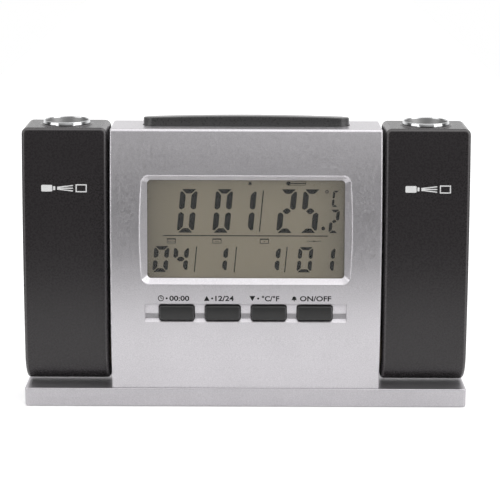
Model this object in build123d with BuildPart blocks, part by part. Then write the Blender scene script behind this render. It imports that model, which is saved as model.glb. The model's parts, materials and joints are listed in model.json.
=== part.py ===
from build123d import *
import math
import os

os.makedirs("parts", exist_ok=True)

# Projection alarm clock. Origin: middle of the footprint, on the floor.
# +X is the clock's right as seen from the front, -Y its front, +Z up. Millimetres.

# ---- Fits ----------------------------------------------------------------
RUN_FIT = 0.08       # radial, a shaft turning or sliding in its bore
KEY_FIT = 0.3        # all round a push key or the snooze bar in its opening
SEAT_FIT = 0.1       # between pieces that sit in one another
FACE_GAP = 0.1       # between flat faces that slide past each other

# ---- Base plate ----------------------------------------------------------
BASE_MARGIN = 0.2     # the base plate reaches this far past the arms
BASE_DEPTH = 46.0
BASE_HEIGHT = 7.0
BASE_WALL = 2.0
BASE_CORNER = 1.2
BASE_EDGE = 0.45
FOOT_STAND = 0.4     # how far the rubber feet hold the base off the table
FOOT_RADIUS = 5.0
FOOT_SINK = 0.6
FOOT_INSET_X = 12.0
FOOT_INSET_Y = 9.0
RIB_THICK = 2.0
COVER_THICK = 1.8
COVER_LEDGE = 0.8    # how far the base wall carries the bottom cover

# ---- Central body --------------------------------------------------------
BODY_WIDTH = 102.8
BODY_HEIGHT = 99.5   # above the base plate
BODY_DEPTH = 31.0    # from the front's foremost line to the flat back
BODY_WALL = 2.2
BODY_EDGE = 0.6
BODY_BROW = 1.2      # radius of the upper front edge
REAR_WALL = 2.4
FRONT_RADIUS = 270.0
FRONT_BULGE = 1.0    # the front's foremost line stands this far ahead of the base
BULGE_HEIGHT = 30.0  # height of that line above the base plate

# ---- Display -------------------------------------------------------------
GLASS_WIDTH = 74.8
GLASS_HEIGHT = 37.3
GLASS_RISE = 0.3      # the glass lies this much above the bezel's middle
GLASS_CORNER = 1.4
BEZEL_SIDE = 2.8      # width of the slope left and right of the glass
BEZEL_BAND = 2.75     # width of the slope above and below the glass
BEZEL_CORNER = 3.2
BEZEL_DEPTH = 2.8
BEZEL_EDGE = 0.8
BEZEL_CENTRE = 62.0  # above the base plate
WINDOW_THICK = 1.0
WINDOW_LAP = 2.0     # the window reaches this far behind the bezel
LCD_THICK = 2.4
LCD_LAP = 1.2
FRAME_WALL = 1.6
FRAME_DEPTH = 3.0    # of the window frame, behind the window's face

# ---- Keys ----------------------------------------------------------------
KEY_COUNT = 4
KEY_PITCH = 17.5
KEY_WIDTH = 13.3
KEY_HEIGHT = 5.9
KEY_CORNER = 0.9
KEY_PROUD = 0.7
KEY_CENTRE = 30.4    # above the base plate
KEY_SKIRT = 1.3      # depth of the sloped rim around the key's front
KEY_TAPER = 20.0     # degrees
KEY_BEVEL = 0.18
KEY_CROWN = 14.0     # radius of the key's slightly round front
KEY_TRAVEL = 0.6
KEY_FLANGE = 1.0
TROUGH_WIDTH = 76.8
TROUGH_HEIGHT = 7.3
TROUGH_DEPTH = 1.5
TROUGH_WALL_DROP = 0.5   # from the trough's middle down to its deepest line
TROUGH_WALL_RISE = 2.0   # of the steep wall below that line
TROUGH_WALL_LEAN = 8.0   # degrees
TROUGH_BACK = 2.4    # wall left behind the deepest line of the trough

# ---- Snooze bar ----------------------------------------------------------
BAR_WIDTH = 78.6
BAR_DEPTH = 9.0
BAR_CORNER = 4.2
BAR_SETBACK = 15.5   # from the base plate's front to the bar's front
BAR_END_RISE = 3.3
BAR_CROWN_RISE = 4.0
BAR_LEAN = 5.0       # degrees, the top falls towards the back
BAR_EDGE = 0.5
BAR_TRAVEL = 1.5
BAR_FLANGE = 1.4
BAR_WALL = 1.6
BAR_ROOF = 1.8       # thickness over the hollow at the bar's ends

# ---- Electronics ---------------------------------------------------------
BOARD_THICK = 1.6
BOARD_SETBACK = 13.0  # from the base plate's front to the board's front face
BOARD_WIDTH = 84.0
BOARD_LOW = 17.0      # above the base plate
BOARD_HIGH = 93.0
CHIP_CENTRE = 72.0    # above the base plate
CHIP_RADIUS = 6.5
CHIP_THICK = 1.6
CHIP_X = -6.0
CRYSTAL_X = -26.0
CRYSTAL_RADIUS = 1.5
CRYSTAL_LENGTH = 8.0
BUZZER_INSET = 18.0  # from the board's edge to the buzzer's middle
BUZZER_RADIUS = 9.0
BUZZER_THICK = 4.5
BUZZER_HOLE = 1.5
SLOT_LENGTH = 14.0    # of the sound slots
SLOT_WIDTH = 1.4
SLOT_PITCH = 3.0
SWITCH_SIZE = 6.0
SWITCH_BODY = 3.5
SWITCH_PLUNGER = 0.8
PLUNGER_RADIUS = 1.7
SNOOZE_BOARD_THICK = 1.2
SNOOZE_SCREW_GRIP = 3.5   # screw length below the board
SNOOZE_BOARD_DEPTH = 8.0
SNOOZE_SWITCH_X = 20.0

# ---- Batteries -----------------------------------------------------------
CELL_RADIUS = 5.25
CELL_LENGTH = 44.5
CELL_NUB = 1.2
CELL_NUB_RADIUS = 1.9
CELL_COUNT = 3
CELL_PITCH = 11.0
CELL_SLACK = 0.2
SPRING_LENGTH = 3.2
CONTACT_THICK = 0.4
CONTACT_WIDTH = 8.8
BAY_WALL = 1.4
BAY_LOW = 20.0        # inside, above the base plate
DOOR_THICK = 1.4
DOOR_LAP = 1.5
DOOR_GAP = 0.3
HOOK_X = 15.0
HOOK_WIDTH = 8.0

# ---- Projector arms ------------------------------------------------------
POD_WIDTH = 32.2
POD_GAP = 1.2         # between the body's side and an arm
POD_TOP = 99.7        # above the base plate
POD_BELOW = 0.7       # running gap over the base plate
POD_END_RADIUS = 12.0
POD_SETBACK = 2.0     # from the base plate's front to the arm's foremost line
POD_FRONT_RADIUS = 565.0
POD_TOP_DEPTH = 22.3
POD_WALL = 1.8
POD_COVER = 2.0
POD_CORNER = 2.3      # of the upper corners in the front view
POD_EDGE = 1.3
HUB_RADIUS = 4.5
HUB_BORE = 2.6
HUB_FLANGE_RADIUS = 8.0
HUB_FLANGE = 1.5
CLIP_THICK = 0.8
CLIP_RADIUS = 6.5
WASHER_RADIUS = 7.5

# ---- Projector optics ----------------------------------------------------
LENS_SETBACK = 19.8   # from the base plate's front to the lens axis
RING_RIM_RADIUS = 8.8
RING_FOOT_RADIUS = 9.0
RING_RISE = 1.65
RING_CUP = 2.85       # depth of the cup inside the rim
RING_CUP_RADIUS = 7.5
RING_NECK_RADIUS = 8.3
COLLAR_RISE = 0.3     # of the low cone around the ring, above the arm's top
COLLAR_RADIUS = 10.1
COLLAR_TAPER = 60.0   # degrees
BARREL_RADIUS = 5.6
BARREL_WALL = 0.9
BARREL_LENGTH = 9.0
FOCUS_TRAVEL = 0.6    # each way
BARREL_SINK = 0.4     # the barrel's rim lies this far below the arm's top
LENS_THICK = 2.6
TUBE_OUTER = 10.4
TUBE_WALL = 1.3
TUBE_LOW = 64.0       # above the base plate
TUBE_CLEAR = 4.8      # between the light tube and the barrel at its lowest
SLIDE_THICK = 1.5
LAMP_BOARD_THICK = 1.2
LAMP_RADIUS = 2.5

# ---- Screws --------------------------------------------------------------
SCREW_RADIUS = 1.1
SCREW_HEAD = 2.1
SCREW_HEAD_THICK = 1.0
WELL_DEPTH = 1.1      # of the wells that the heads lie in
BOSS_RADIUS = 3.0
CASE_SCREW_INSET = 5.1        # from the body's side
CASE_SCREW_Z = (28.0, 92.0)   # above the base plate
CASE_SCREW_LENGTH = 8.0
BOARD_SCREW_INSET = 4.5       # from the board's side
BOARD_SCREW_LENGTH = 4.5      # in the boss behind the board
BASE_SCREW_INSET = 12.0       # from the body's side
BASE_BOSS_RISE = 9.0
ARM_SCREW_LENGTH = 7.0

# ---- Derived places ------------------------------------------------------
DECK = FOOT_STAND + BASE_HEIGHT
BASE_WIDTH = BODY_WIDTH + 2 * (POD_GAP + POD_WIDTH + BASE_MARGIN)
BASE_FRONT = -(BASE_DEPTH - FRONT_BULGE - KEY_PROUD) / 2
BASE_BACK = BASE_FRONT + BASE_DEPTH
BODY_HALF = BODY_WIDTH / 2
BODY_NOSE = BASE_FRONT - FRONT_BULGE
BODY_BACK = BODY_NOSE + BODY_DEPTH
BODY_TOP = DECK + BODY_HEIGHT
SEAM = BODY_BACK - REAR_WALL
NOSE_Z = DECK + BULGE_HEIGHT
INNER_HALF = BODY_HALF - BODY_WALL
INNER_TOP = BODY_TOP - BODY_WALL

AXIS_Y = BASE_FRONT + POD_SETBACK + POD_END_RADIUS
AXIS_Z = DECK + POD_BELOW + POD_END_RADIUS
POD_CROWN = DECK + POD_TOP
POD_INNER_X = BODY_HALF + POD_GAP
POD_MID_X = POD_INNER_X + POD_WIDTH / 2
LENS_Y = BASE_FRONT + LENS_SETBACK
SIDES = {"left": -1, "right": 1}


def bow(radius, nose_y, nose_z, z):
    """Y of an upright front that bows forward to nose_y at the height nose_z."""
    return nose_y + radius - math.sqrt(radius**2 - (z - nose_z) ** 2)


def body_front(z):
    return bow(FRONT_RADIUS, BODY_NOSE, NOSE_Z, z)


def pod_front(z):
    return bow(POD_FRONT_RADIUS, BASE_FRONT + POD_SETBACK, AXIS_Z, z)


def upright(y):
    """Sketch plane at the depth y, facing the front: x right, y up."""
    return Plane.XZ.offset(-y)


def screw(length):
    """Pan-head screw along -Z, the underside of its head at the origin."""
    with BuildPart(mode=Mode.PRIVATE) as piece:
        with BuildSketch(Plane.XY):
            Circle(SCREW_HEAD)
        extrude(amount=SCREW_HEAD_THICK)
        fillet(piece.edges().sort_by(Axis.Z)[-1], 0.5)
        with BuildSketch(Plane.XY.offset(SCREW_HEAD_THICK)):
            Rectangle(2.6, 0.6)
            Rectangle(0.6, 2.6)
        extrude(amount=-0.8, mode=Mode.SUBTRACT)
        with BuildSketch(Plane.XY):
            Circle(SCREW_RADIUS)
        extrude(amount=-length)
        chamfer(piece.edges().sort_by(Axis.Z)[0], 0.4)
    return piece.part


def tact_switch():
    """Small push switch that stands on the XY plane, its plunger upward."""
    with BuildPart(mode=Mode.PRIVATE) as piece:
        with BuildSketch(Plane.XY):
            Rectangle(SWITCH_SIZE, SWITCH_SIZE)
        extrude(amount=SWITCH_BODY)
        with BuildSketch(Plane.XY.offset(SWITCH_BODY)):
            Circle(PLUNGER_RADIUS)
        extrude(amount=SWITCH_PLUNGER)
    return piece.part


def hand_in(part, name):
    part.label = name
    export_step(part, f"parts/{name}.step")


# ==== Base ================================================================
COVER_WIDTH = BASE_WIDTH - 2 * (BASE_WALL - COVER_LEDGE + SEAT_FIT)
COVER_DEPTH = BASE_DEPTH - 2 * (BASE_WALL - COVER_LEDGE + SEAT_FIT)
COVER_TOP = FOOT_STAND + COVER_THICK
BASE_MID_Y = (BASE_FRONT + BASE_BACK) / 2
BASE_INNER_TOP = DECK - BASE_WALL
BASE_SCREW_FRONT = BASE_FRONT + BASE_WALL + BOSS_RADIUS - 0.5
BASE_SCREW_BACK = SEAM - BOSS_RADIUS + 0.4
BASE_SCREW_X = BODY_WIDTH / 2 - BASE_SCREW_INSET
BASE_SCREWS = [
    (x, y)
    for x in (-BASE_SCREW_X, BASE_SCREW_X)
    for y in (BASE_SCREW_FRONT, BASE_SCREW_BACK)
]
BASE_SCREW_SEAT = FOOT_STAND + WELL_DEPTH
BASE_SCREW_LENGTH = DECK + BASE_BOSS_RISE - 2.0 - BASE_SCREW_SEAT

with BuildPart() as base_plate:
    with BuildSketch(Plane.XY.offset(FOOT_STAND)):
        with Locations((0, BASE_MID_Y)):
            RectangleRounded(BASE_WIDTH, BASE_DEPTH, BASE_CORNER)
    extrude(amount=BASE_HEIGHT)
    fillet(base_plate.edges().group_by(Axis.Z)[-1], BASE_EDGE)
    fillet(base_plate.edges().group_by(Axis.Z)[0], BASE_EDGE / 2)
    with BuildSketch(Plane.XY.offset(COVER_TOP)):
        with Locations((0, BASE_MID_Y)):
            Rectangle(BASE_WIDTH - 2 * BASE_WALL, BASE_DEPTH - 2 * BASE_WALL)
    extrude(amount=BASE_INNER_TOP - COVER_TOP, mode=Mode.SUBTRACT)
    with BuildSketch(Plane.XY.offset(FOOT_STAND)):
        with Locations((0, BASE_MID_Y)):
            Rectangle(COVER_WIDTH + 2 * SEAT_FIT, COVER_DEPTH + 2 * SEAT_FIT)
    extrude(amount=COVER_THICK, mode=Mode.SUBTRACT)
    with BuildSketch(Plane.XY.offset(COVER_TOP)):
        with Locations(*BASE_SCREWS):
            Circle(BOSS_RADIUS)
        with Locations((-BODY_HALF, BASE_MID_Y), (0, BASE_MID_Y), (BODY_HALF, BASE_MID_Y)):
            Rectangle(RIB_THICK, BASE_DEPTH - 2 * BASE_WALL + COVER_LEDGE)
    extrude(amount=BASE_INNER_TOP - COVER_TOP + 0.5)
    with BuildSketch(Plane.XY.offset(COVER_TOP)):
        with Locations(*BASE_SCREWS):
            Circle(SCREW_RADIUS + SEAT_FIT)
    extrude(amount=DECK - COVER_TOP, mode=Mode.SUBTRACT)
hand_in(base_plate.part, "base_plate")

FEET = [
    (x, y)
    for x in (-BASE_WIDTH / 2 + FOOT_INSET_X, BASE_WIDTH / 2 - FOOT_INSET_X)
    for y in (BASE_FRONT + FOOT_INSET_Y, BASE_BACK - FOOT_INSET_Y)
]

with BuildPart() as base_cover:
    with BuildSketch(Plane.XY.offset(FOOT_STAND)):
        with Locations((0, BASE_MID_Y)):
            Rectangle(COVER_WIDTH, COVER_DEPTH)
    extrude(amount=COVER_THICK)
    with BuildSketch(Plane.XY.offset(FOOT_STAND)):
        with Locations(*FEET):
            Circle(FOOT_RADIUS + SEAT_FIT)
    extrude(amount=FOOT_SINK, mode=Mode.SUBTRACT)
    with BuildSketch(Plane.XY.offset(FOOT_STAND)):
        with Locations(*BASE_SCREWS):
            Circle(SCREW_RADIUS + SEAT_FIT)
    extrude(amount=COVER_THICK, mode=Mode.SUBTRACT)
    with BuildSketch(Plane.XY.offset(FOOT_STAND)):
        with Locations(*BASE_SCREWS):
            Circle(SCREW_HEAD + SEAT_FIT)
    extrude(amount=WELL_DEPTH, mode=Mode.SUBTRACT)
hand_in(base_cover.part, "base_cover")

with BuildPart() as rubber_feet:
    with BuildSketch(Plane.XY):
        with Locations(*FEET):
            Circle(FOOT_RADIUS)
    extrude(amount=FOOT_STAND + FOOT_SINK)
    chamfer(rubber_feet.edges().group_by(Axis.Z)[0], 0.25)
hand_in(rubber_feet.part, "rubber_feet")

with BuildPart() as base_screws:
    with Locations(*[
        Plane(origin=(x, y, BASE_SCREW_SEAT), z_dir=(0, 0, -1)).location
        for x, y in BASE_SCREWS
    ]):
        add(screw(BASE_SCREW_LENGTH))
hand_in(base_screws.part, "base_screws")

# ==== Central body ========================================================
BEZEL_Z = DECK + BEZEL_CENTRE
BEZEL_LEAN = math.asin((BEZEL_Z - NOSE_Z) / FRONT_RADIUS)
# Tangent to the front at the display: x right, y up the display, z outward.
BEZEL_FACE = Plane(
    origin=(0, body_front(BEZEL_Z), BEZEL_Z),
    x_dir=(1, 0, 0),
    z_dir=(0, -math.cos(BEZEL_LEAN), math.sin(BEZEL_LEAN)),
)
BEZEL_WIDTH = GLASS_WIDTH + 2 * BEZEL_SIDE
BEZEL_HEIGHT = GLASS_HEIGHT + 2 * BEZEL_BAND
WINDOW_WIDTH = GLASS_WIDTH + 2 * WINDOW_LAP
WINDOW_HEIGHT = GLASS_HEIGHT + 2 * WINDOW_LAP
LCD_BACK = BEZEL_DEPTH + WINDOW_THICK + SEAT_FIT + LCD_THICK

BOARD_FRONT = BASE_FRONT + BOARD_SETBACK
BOARD_BACK = BOARD_FRONT + BOARD_THICK
KEY_Z = DECK + KEY_CENTRE
KEY_XS = [(i - (KEY_COUNT - 1) / 2) * KEY_PITCH for i in range(KEY_COUNT)]
TROUGH_DEEP_Z = KEY_Z - TROUGH_WALL_DROP
COVE_RISE = TROUGH_HEIGHT / 2 + TROUGH_WALL_DROP
COVE_RADIUS = (TROUGH_DEPTH**2 + COVE_RISE**2) / (2 * TROUGH_DEPTH)
TROUGH_WALL_BACK = BODY_NOSE + TROUGH_DEPTH + TROUGH_BACK

BAR_MID_Y = BASE_FRONT + BAR_SETBACK + BAR_DEPTH / 2
BAR_FLANGE_TOP = INNER_TOP - FACE_GAP
BAR_FLANGE_LAP = 1.2
SNOOZE_BOARD_TOP = BODY_TOP - 14.0
SNOOZE_BOARD_HALF = INNER_HALF - KEY_FIT
SNOOZE_SCREW_X = INNER_HALF - 5.2
SNOOZE_SHELF = 9.0
CASE_SCREW_X = BODY_HALF - CASE_SCREW_INSET
BOARD_SCREW_X = BOARD_WIDTH / 2 - BOARD_SCREW_INSET
BUZZER_X = BOARD_WIDTH / 2 - BUZZER_INSET
BOARD_SCREW_Z = (BOARD_LOW + BOARD_SCREW_INSET - 1.0, BOARD_HIGH - BOARD_SCREW_INSET)
CASE_SCREWS = [
    (x, DECK + z) for x in (-CASE_SCREW_X, CASE_SCREW_X) for z in CASE_SCREW_Z
]
BOARD_SCREWS = [
    (x, DECK + z) for x in (-BOARD_SCREW_X, BOARD_SCREW_X) for z in BOARD_SCREW_Z
]

with BuildPart(mode=Mode.PRIVATE) as body_block:
    with BuildSketch(Plane.YZ.offset(-BODY_HALF)):
        with BuildLine():
            front = ThreePointArc(
                (body_front(DECK), DECK),
                (BODY_NOSE, NOSE_Z),
                (body_front(BODY_TOP), BODY_TOP),
            )
            Polyline(front @ 1, (BODY_BACK, BODY_TOP), (BODY_BACK, DECK), front @ 0)
        make_face()
    extrude(amount=BODY_WIDTH)
    fillet(body_block.edges().group_by(Axis.Z)[-1].sort_by(Axis.Y)[0], BODY_BROW)
    rim = []
    for edge in body_block.edges():
        spot = edge.center()
        upper_back = spot.Z > BODY_TOP - 0.01 and spot.Y > BODY_BACK - 0.01
        at_end = abs(abs(spot.X) - BODY_HALF) < 0.01 and spot.Z > DECK + 0.01
        if at_end or upper_back:
            rim.append(edge)
    fillet(rim, BODY_EDGE)

with BuildPart() as front_shell:
    add(body_block.part)
    # Hollow
    with BuildSketch(Plane.YZ.offset(-INNER_HALF)):
        with BuildLine():
            nose = BODY_NOSE + BODY_WALL
            radius = FRONT_RADIUS - BODY_WALL
            inside = ThreePointArc(
                (bow(radius, nose, NOSE_Z, DECK), DECK),
                (nose, NOSE_Z),
                (bow(radius, nose, NOSE_Z, INNER_TOP), INNER_TOP),
            )
            Polyline(inside @ 1, (SEAM, INNER_TOP), (SEAM, DECK), inside @ 0)
        make_face()
    extrude(amount=2 * INNER_HALF, mode=Mode.SUBTRACT)
    with BuildSketch(upright(BODY_BACK)):
        with Locations((0, (DECK + BODY_TOP) / 2)):
            Rectangle(BODY_WIDTH, BODY_HEIGHT)
    extrude(amount=REAR_WALL, mode=Mode.SUBTRACT)
    # Frame behind the bezel, for the window and the LCD
    with BuildSketch(BEZEL_FACE.offset(-BEZEL_DEPTH - FRAME_DEPTH)):
        with Locations((0, GLASS_RISE)):
            Rectangle(WINDOW_WIDTH + 2 * FRAME_WALL, WINDOW_HEIGHT + 2 * FRAME_WALL)
    extrude(amount=BEZEL_DEPTH + FRAME_DEPTH - BODY_WALL + 0.3)
    with BuildSketch(BEZEL_FACE.offset(-BEZEL_DEPTH - FRAME_DEPTH)):
        with Locations((0, GLASS_RISE)):
            Rectangle(WINDOW_WIDTH + 2 * SEAT_FIT, WINDOW_HEIGHT + 2 * SEAT_FIT)
    extrude(amount=FRAME_DEPTH, mode=Mode.SUBTRACT)
    # Sloped bezel, from the glass out to just ahead of the face
    with BuildSketch(BEZEL_FACE.offset(-BEZEL_DEPTH)):
        with Locations((0, GLASS_RISE)):
            RectangleRounded(GLASS_WIDTH, GLASS_HEIGHT, GLASS_CORNER)
    with BuildSketch(BEZEL_FACE.offset(BEZEL_DEPTH)):
        with Locations((0, -GLASS_RISE)):
            RectangleRounded(
                2 * BEZEL_WIDTH - GLASS_WIDTH,
                2 * BEZEL_HEIGHT - GLASS_HEIGHT,
                2 * BEZEL_CORNER - GLASS_CORNER,
            )
    loft(mode=Mode.SUBTRACT)
    mouth = []
    for edge in front_shell.edges():
        spot = BEZEL_FACE.to_local_coords(edge.center())
        outside = abs(spot.X) > GLASS_WIDTH / 2 + 1 or abs(spot.Y) > GLASS_HEIGHT / 2 + 1
        near = abs(spot.X) < BEZEL_WIDTH / 2 + 1 and abs(spot.Y) < BEZEL_HEIGHT / 2 + 1
        if outside and near and abs(spot.Z) < BEZEL_DEPTH / 4:
            mouth.append(edge)
    fillet(mouth, BEZEL_EDGE)
    # Key trough with a thicker wall behind it
    with BuildSketch(upright(TROUGH_WALL_BACK)):
        with Locations((0, KEY_Z)):
            Rectangle(TROUGH_WIDTH + 2 * BODY_WALL, TROUGH_HEIGHT + 2 * BODY_WALL)
    extrude(amount=TROUGH_WALL_BACK - BODY_NOSE - BODY_WALL / 2)
    with BuildSketch(Plane.YZ.offset(-TROUGH_WIDTH / 2)):
        with BuildLine():
            deepest = BODY_NOSE + TROUGH_DEPTH
            lip = (BODY_NOSE, KEY_Z + TROUGH_HEIGHT / 2)
            lean = TROUGH_WALL_RISE * math.tan(math.radians(TROUGH_WALL_LEAN))
            cove = RadiusArc(lip, (deepest, TROUGH_DEEP_Z), COVE_RADIUS)
            Polyline(
                cove @ 1,
                (deepest - lean, TROUGH_DEEP_Z - TROUGH_WALL_RISE),
                (BODY_NOSE, KEY_Z - TROUGH_HEIGHT / 2),
                (BODY_NOSE - 1.0, KEY_Z - TROUGH_HEIGHT / 2),
                (BODY_NOSE - 1.0, lip[1]),
                lip,
            )
        make_face()
    extrude(amount=TROUGH_WIDTH, mode=Mode.SUBTRACT)
    with BuildSketch(upright(TROUGH_WALL_BACK)):
        with Locations(*[(x, KEY_Z) for x in KEY_XS]):
            RectangleRounded(
                KEY_WIDTH + 2 * KEY_FIT, KEY_HEIGHT + 2 * KEY_FIT, KEY_CORNER + KEY_FIT
            )
    extrude(amount=TROUGH_WALL_BACK - BODY_NOSE + 1.0, mode=Mode.SUBTRACT)
    # Opening for the snooze bar
    with BuildSketch(Plane.XY.offset(INNER_TOP)):
        with Locations((0, BAR_MID_Y)):
            RectangleRounded(
                BAR_WIDTH + 2 * KEY_FIT, BAR_DEPTH + 2 * KEY_FIT, BAR_CORNER + KEY_FIT
            )
    extrude(amount=BODY_WALL, mode=Mode.SUBTRACT)
    # Shelves for the snooze board
    with BuildSketch(Plane.XY.offset(SNOOZE_BOARD_TOP - SNOOZE_BOARD_THICK)):
        for side in SIDES.values():
            with Locations((side * (INNER_HALF - SNOOZE_SHELF / 2 + 0.3), BAR_MID_Y)):
                Rectangle(SNOOZE_SHELF, SNOOZE_BOARD_DEPTH)
    extrude(amount=-4.0)
    with BuildSketch(Plane.XY.offset(SNOOZE_BOARD_TOP - SNOOZE_BOARD_THICK)):
        with Locations((-SNOOZE_SCREW_X, BAR_MID_Y), (SNOOZE_SCREW_X, BAR_MID_Y)):
            Circle(SCREW_RADIUS + SEAT_FIT)
    extrude(amount=-4.0, mode=Mode.SUBTRACT)
    # Bosses for the rear cover, the board and the base screws
    for x, z in CASE_SCREWS:
        with BuildSketch(upright(SEAM)):
            with Locations((x, z)):
                Circle(BOSS_RADIUS)
        extrude(amount=SEAM - body_front(z) - BODY_WALL / 2)
    with BuildSketch(upright(SEAM)):
        with Locations(*CASE_SCREWS):
            Circle(SCREW_RADIUS + SEAT_FIT)
    extrude(amount=8.0, mode=Mode.SUBTRACT)
    for x, z in BOARD_SCREWS:
        with BuildSketch(upright(BOARD_FRONT)):
            with Locations((x, z)):
                Circle(BOSS_RADIUS - 0.4)
        extrude(amount=BOARD_FRONT - body_front(z) - BODY_WALL / 2)
    with BuildSketch(upright(BOARD_FRONT)):
        with Locations(*BOARD_SCREWS):
            Circle(SCREW_RADIUS + SEAT_FIT)
    extrude(amount=5.0, mode=Mode.SUBTRACT)
    with BuildSketch(Plane.XY.offset(DECK)):
        with Locations((-BASE_SCREW_X, BASE_SCREW_FRONT), (BASE_SCREW_X, BASE_SCREW_FRONT)):
            Circle(BOSS_RADIUS)
    extrude(amount=BASE_BOSS_RISE)
    with BuildSketch(Plane.XY.offset(DECK)):
        with Locations((-BASE_SCREW_X, BASE_SCREW_FRONT), (BASE_SCREW_X, BASE_SCREW_FRONT)):
            Circle(SCREW_RADIUS + SEAT_FIT)
    extrude(amount=BASE_BOSS_RISE - 1.5, mode=Mode.SUBTRACT)
    # Bearings for the arms' hubs
    with BuildSketch(Plane.YZ.offset(-BODY_HALF)):
        with Locations((AXIS_Y, AXIS_Z)):
            Circle(HUB_RADIUS + RUN_FIT)
    extrude(amount=BODY_WIDTH, mode=Mode.SUBTRACT)
hand_in(front_shell.part, "front_shell")

with BuildPart() as display_window:
    with BuildSketch(BEZEL_FACE.offset(-BEZEL_DEPTH)):
        with Locations((0, GLASS_RISE)):
            Rectangle(WINDOW_WIDTH, WINDOW_HEIGHT)
    extrude(amount=-WINDOW_THICK)
hand_in(display_window.part, "display_window")

with BuildPart() as lcd_panel:
    with BuildSketch(BEZEL_FACE.offset(-LCD_BACK)):
        with Locations((0, GLASS_RISE)):
            Rectangle(GLASS_WIDTH + 2 * LCD_LAP, GLASS_HEIGHT + 2 * LCD_LAP)
    extrude(amount=LCD_THICK)
hand_in(lcd_panel.part, "lcd_panel")


def behind_bezel(up, depth):
    """Y and Z of a point up the glass from its middle and behind the bezel's face."""
    point = BEZEL_FACE.from_local_coords(Vector(0, up + GLASS_RISE, -depth))
    return point.Y, point.Z


LCD_HALF = GLASS_HEIGHT / 2 + LCD_LAP
GUIDE_LOW = -LCD_HALF + 3.2
RIBBON_THICK = 0.3
RIBBON_INSET = 5.0   # from each end of the glass
RIBBON_DROP = 4.0    # below the fold, down to the board
RIBBON_FOOT = 2.0    # length that lies on the board

with BuildPart() as light_guide:
    with BuildSketch(Plane.YZ.offset(-GLASS_WIDTH / 2)):
        low_y, low_z = behind_bezel(GUIDE_LOW, LCD_BACK)
        high_y, high_z = behind_bezel(LCD_HALF, LCD_BACK)
        with BuildLine():
            Polyline(
                (low_y, low_z),
                (high_y, high_z),
                (BOARD_FRONT, high_z),
                (BOARD_FRONT, low_z),
                close=True,
            )
        make_face()
    extrude(amount=GLASS_WIDTH)
hand_in(light_guide.part, "light_guide")

with BuildPart() as display_ribbon:
    with BuildSketch(Plane.YZ.offset(-GLASS_WIDTH / 2 + RIBBON_INSET)):
        top = behind_bezel(GUIDE_LOW - 0.4, LCD_BACK)
        fold = behind_bezel(-LCD_HALF + 0.6, LCD_BACK)
        fold_in = behind_bezel(-LCD_HALF + 0.8, LCD_BACK + RIBBON_THICK)
        top_in = behind_bezel(GUIDE_LOW - 0.4, LCD_BACK + RIBBON_THICK)
        foot_z = fold[1] - RIBBON_DROP
        with BuildLine():
            Polyline(
                top,
                fold,
                (BOARD_FRONT - RIBBON_THICK, foot_z + 1.2),
                (BOARD_FRONT - RIBBON_THICK, foot_z - RIBBON_FOOT),
                (BOARD_FRONT, foot_z - RIBBON_FOOT),
                (BOARD_FRONT, foot_z + 1.4),
                fold_in,
                top_in,
                close=True,
            )
        make_face()
    extrude(amount=GLASS_WIDTH - 2 * RIBBON_INSET)
hand_in(display_ribbon.part, "display_ribbon")

with BuildPart() as main_board:
    with BuildSketch(upright(BOARD_BACK)):
        with Locations((0, DECK + (BOARD_LOW + BOARD_HIGH) / 2)):
            Rectangle(BOARD_WIDTH, BOARD_HIGH - BOARD_LOW)
        with Locations(*BOARD_SCREWS):
            Circle(SCREW_RADIUS + SEAT_FIT, mode=Mode.SUBTRACT)
    extrude(amount=BOARD_THICK)
hand_in(main_board.part, "main_board")

with BuildPart() as board_screws:
    with Locations(*[
        Plane(origin=(x, BOARD_BACK, z), z_dir=(0, 1, 0)).location
        for x, z in BOARD_SCREWS
    ]):
        add(screw(BOARD_THICK + BOARD_SCREW_LENGTH))
hand_in(board_screws.part, "board_screws")

CHIP_Z = DECK + CHIP_CENTRE

with BuildPart() as controller_chip:
    with BuildSketch(upright(BOARD_BACK)):
        with Locations((CHIP_X, CHIP_Z)):
            Circle(CHIP_RADIUS)
    extrude(amount=-CHIP_THICK)
    fillet(controller_chip.edges().sort_by(Axis.Y)[-1], CHIP_THICK * 0.75)
hand_in(controller_chip.part, "controller_chip")

with BuildPart() as quartz_crystal:
    with BuildSketch(Plane.XY.offset(CHIP_Z - CRYSTAL_LENGTH / 2)):
        with Locations((CRYSTAL_X, BOARD_BACK + CRYSTAL_RADIUS)):
            Circle(CRYSTAL_RADIUS)
    extrude(amount=CRYSTAL_LENGTH)
    fillet(quartz_crystal.edges(), 0.3)
hand_in(quartz_crystal.part, "quartz_crystal")

with BuildPart() as buzzer:
    with BuildSketch(upright(BOARD_BACK)):
        with Locations((BUZZER_X, CHIP_Z)):
            Circle(BUZZER_RADIUS)
    extrude(amount=-BUZZER_THICK)
    with BuildSketch(upright(BOARD_BACK + BUZZER_THICK)):
        with Locations((BUZZER_X, CHIP_Z)):
            Circle(BUZZER_HOLE)
    extrude(amount=BUZZER_THICK * 0.7, mode=Mode.SUBTRACT)
hand_in(buzzer.part, "buzzer")

with BuildPart() as thermistor:
    with BuildSketch(upright(BOARD_FRONT)):
        with Locations((0, DECK + BOARD_LOW + 2)):
            Circle(1.4)
    extrude(amount=2.2)
    fillet(thermistor.edges().sort_by(Axis.Y)[0], 0.9)
hand_in(thermistor.part, "thermistor")

with BuildPart() as key_switches:
    with Locations(*[
        Plane(origin=(x, BOARD_FRONT, KEY_Z), z_dir=(0, -1, 0)).location
        for x in KEY_XS
    ]):
        add(tact_switch())
hand_in(key_switches.part, "key_switches")

KEY_NOSE = BODY_NOSE - KEY_PROUD
KEY_FLANGE_FRONT = TROUGH_WALL_BACK + FACE_GAP
KEY_STEM_END = BOARD_FRONT - SWITCH_BODY - SWITCH_PLUNGER - KEY_TRAVEL - 0.05

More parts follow.
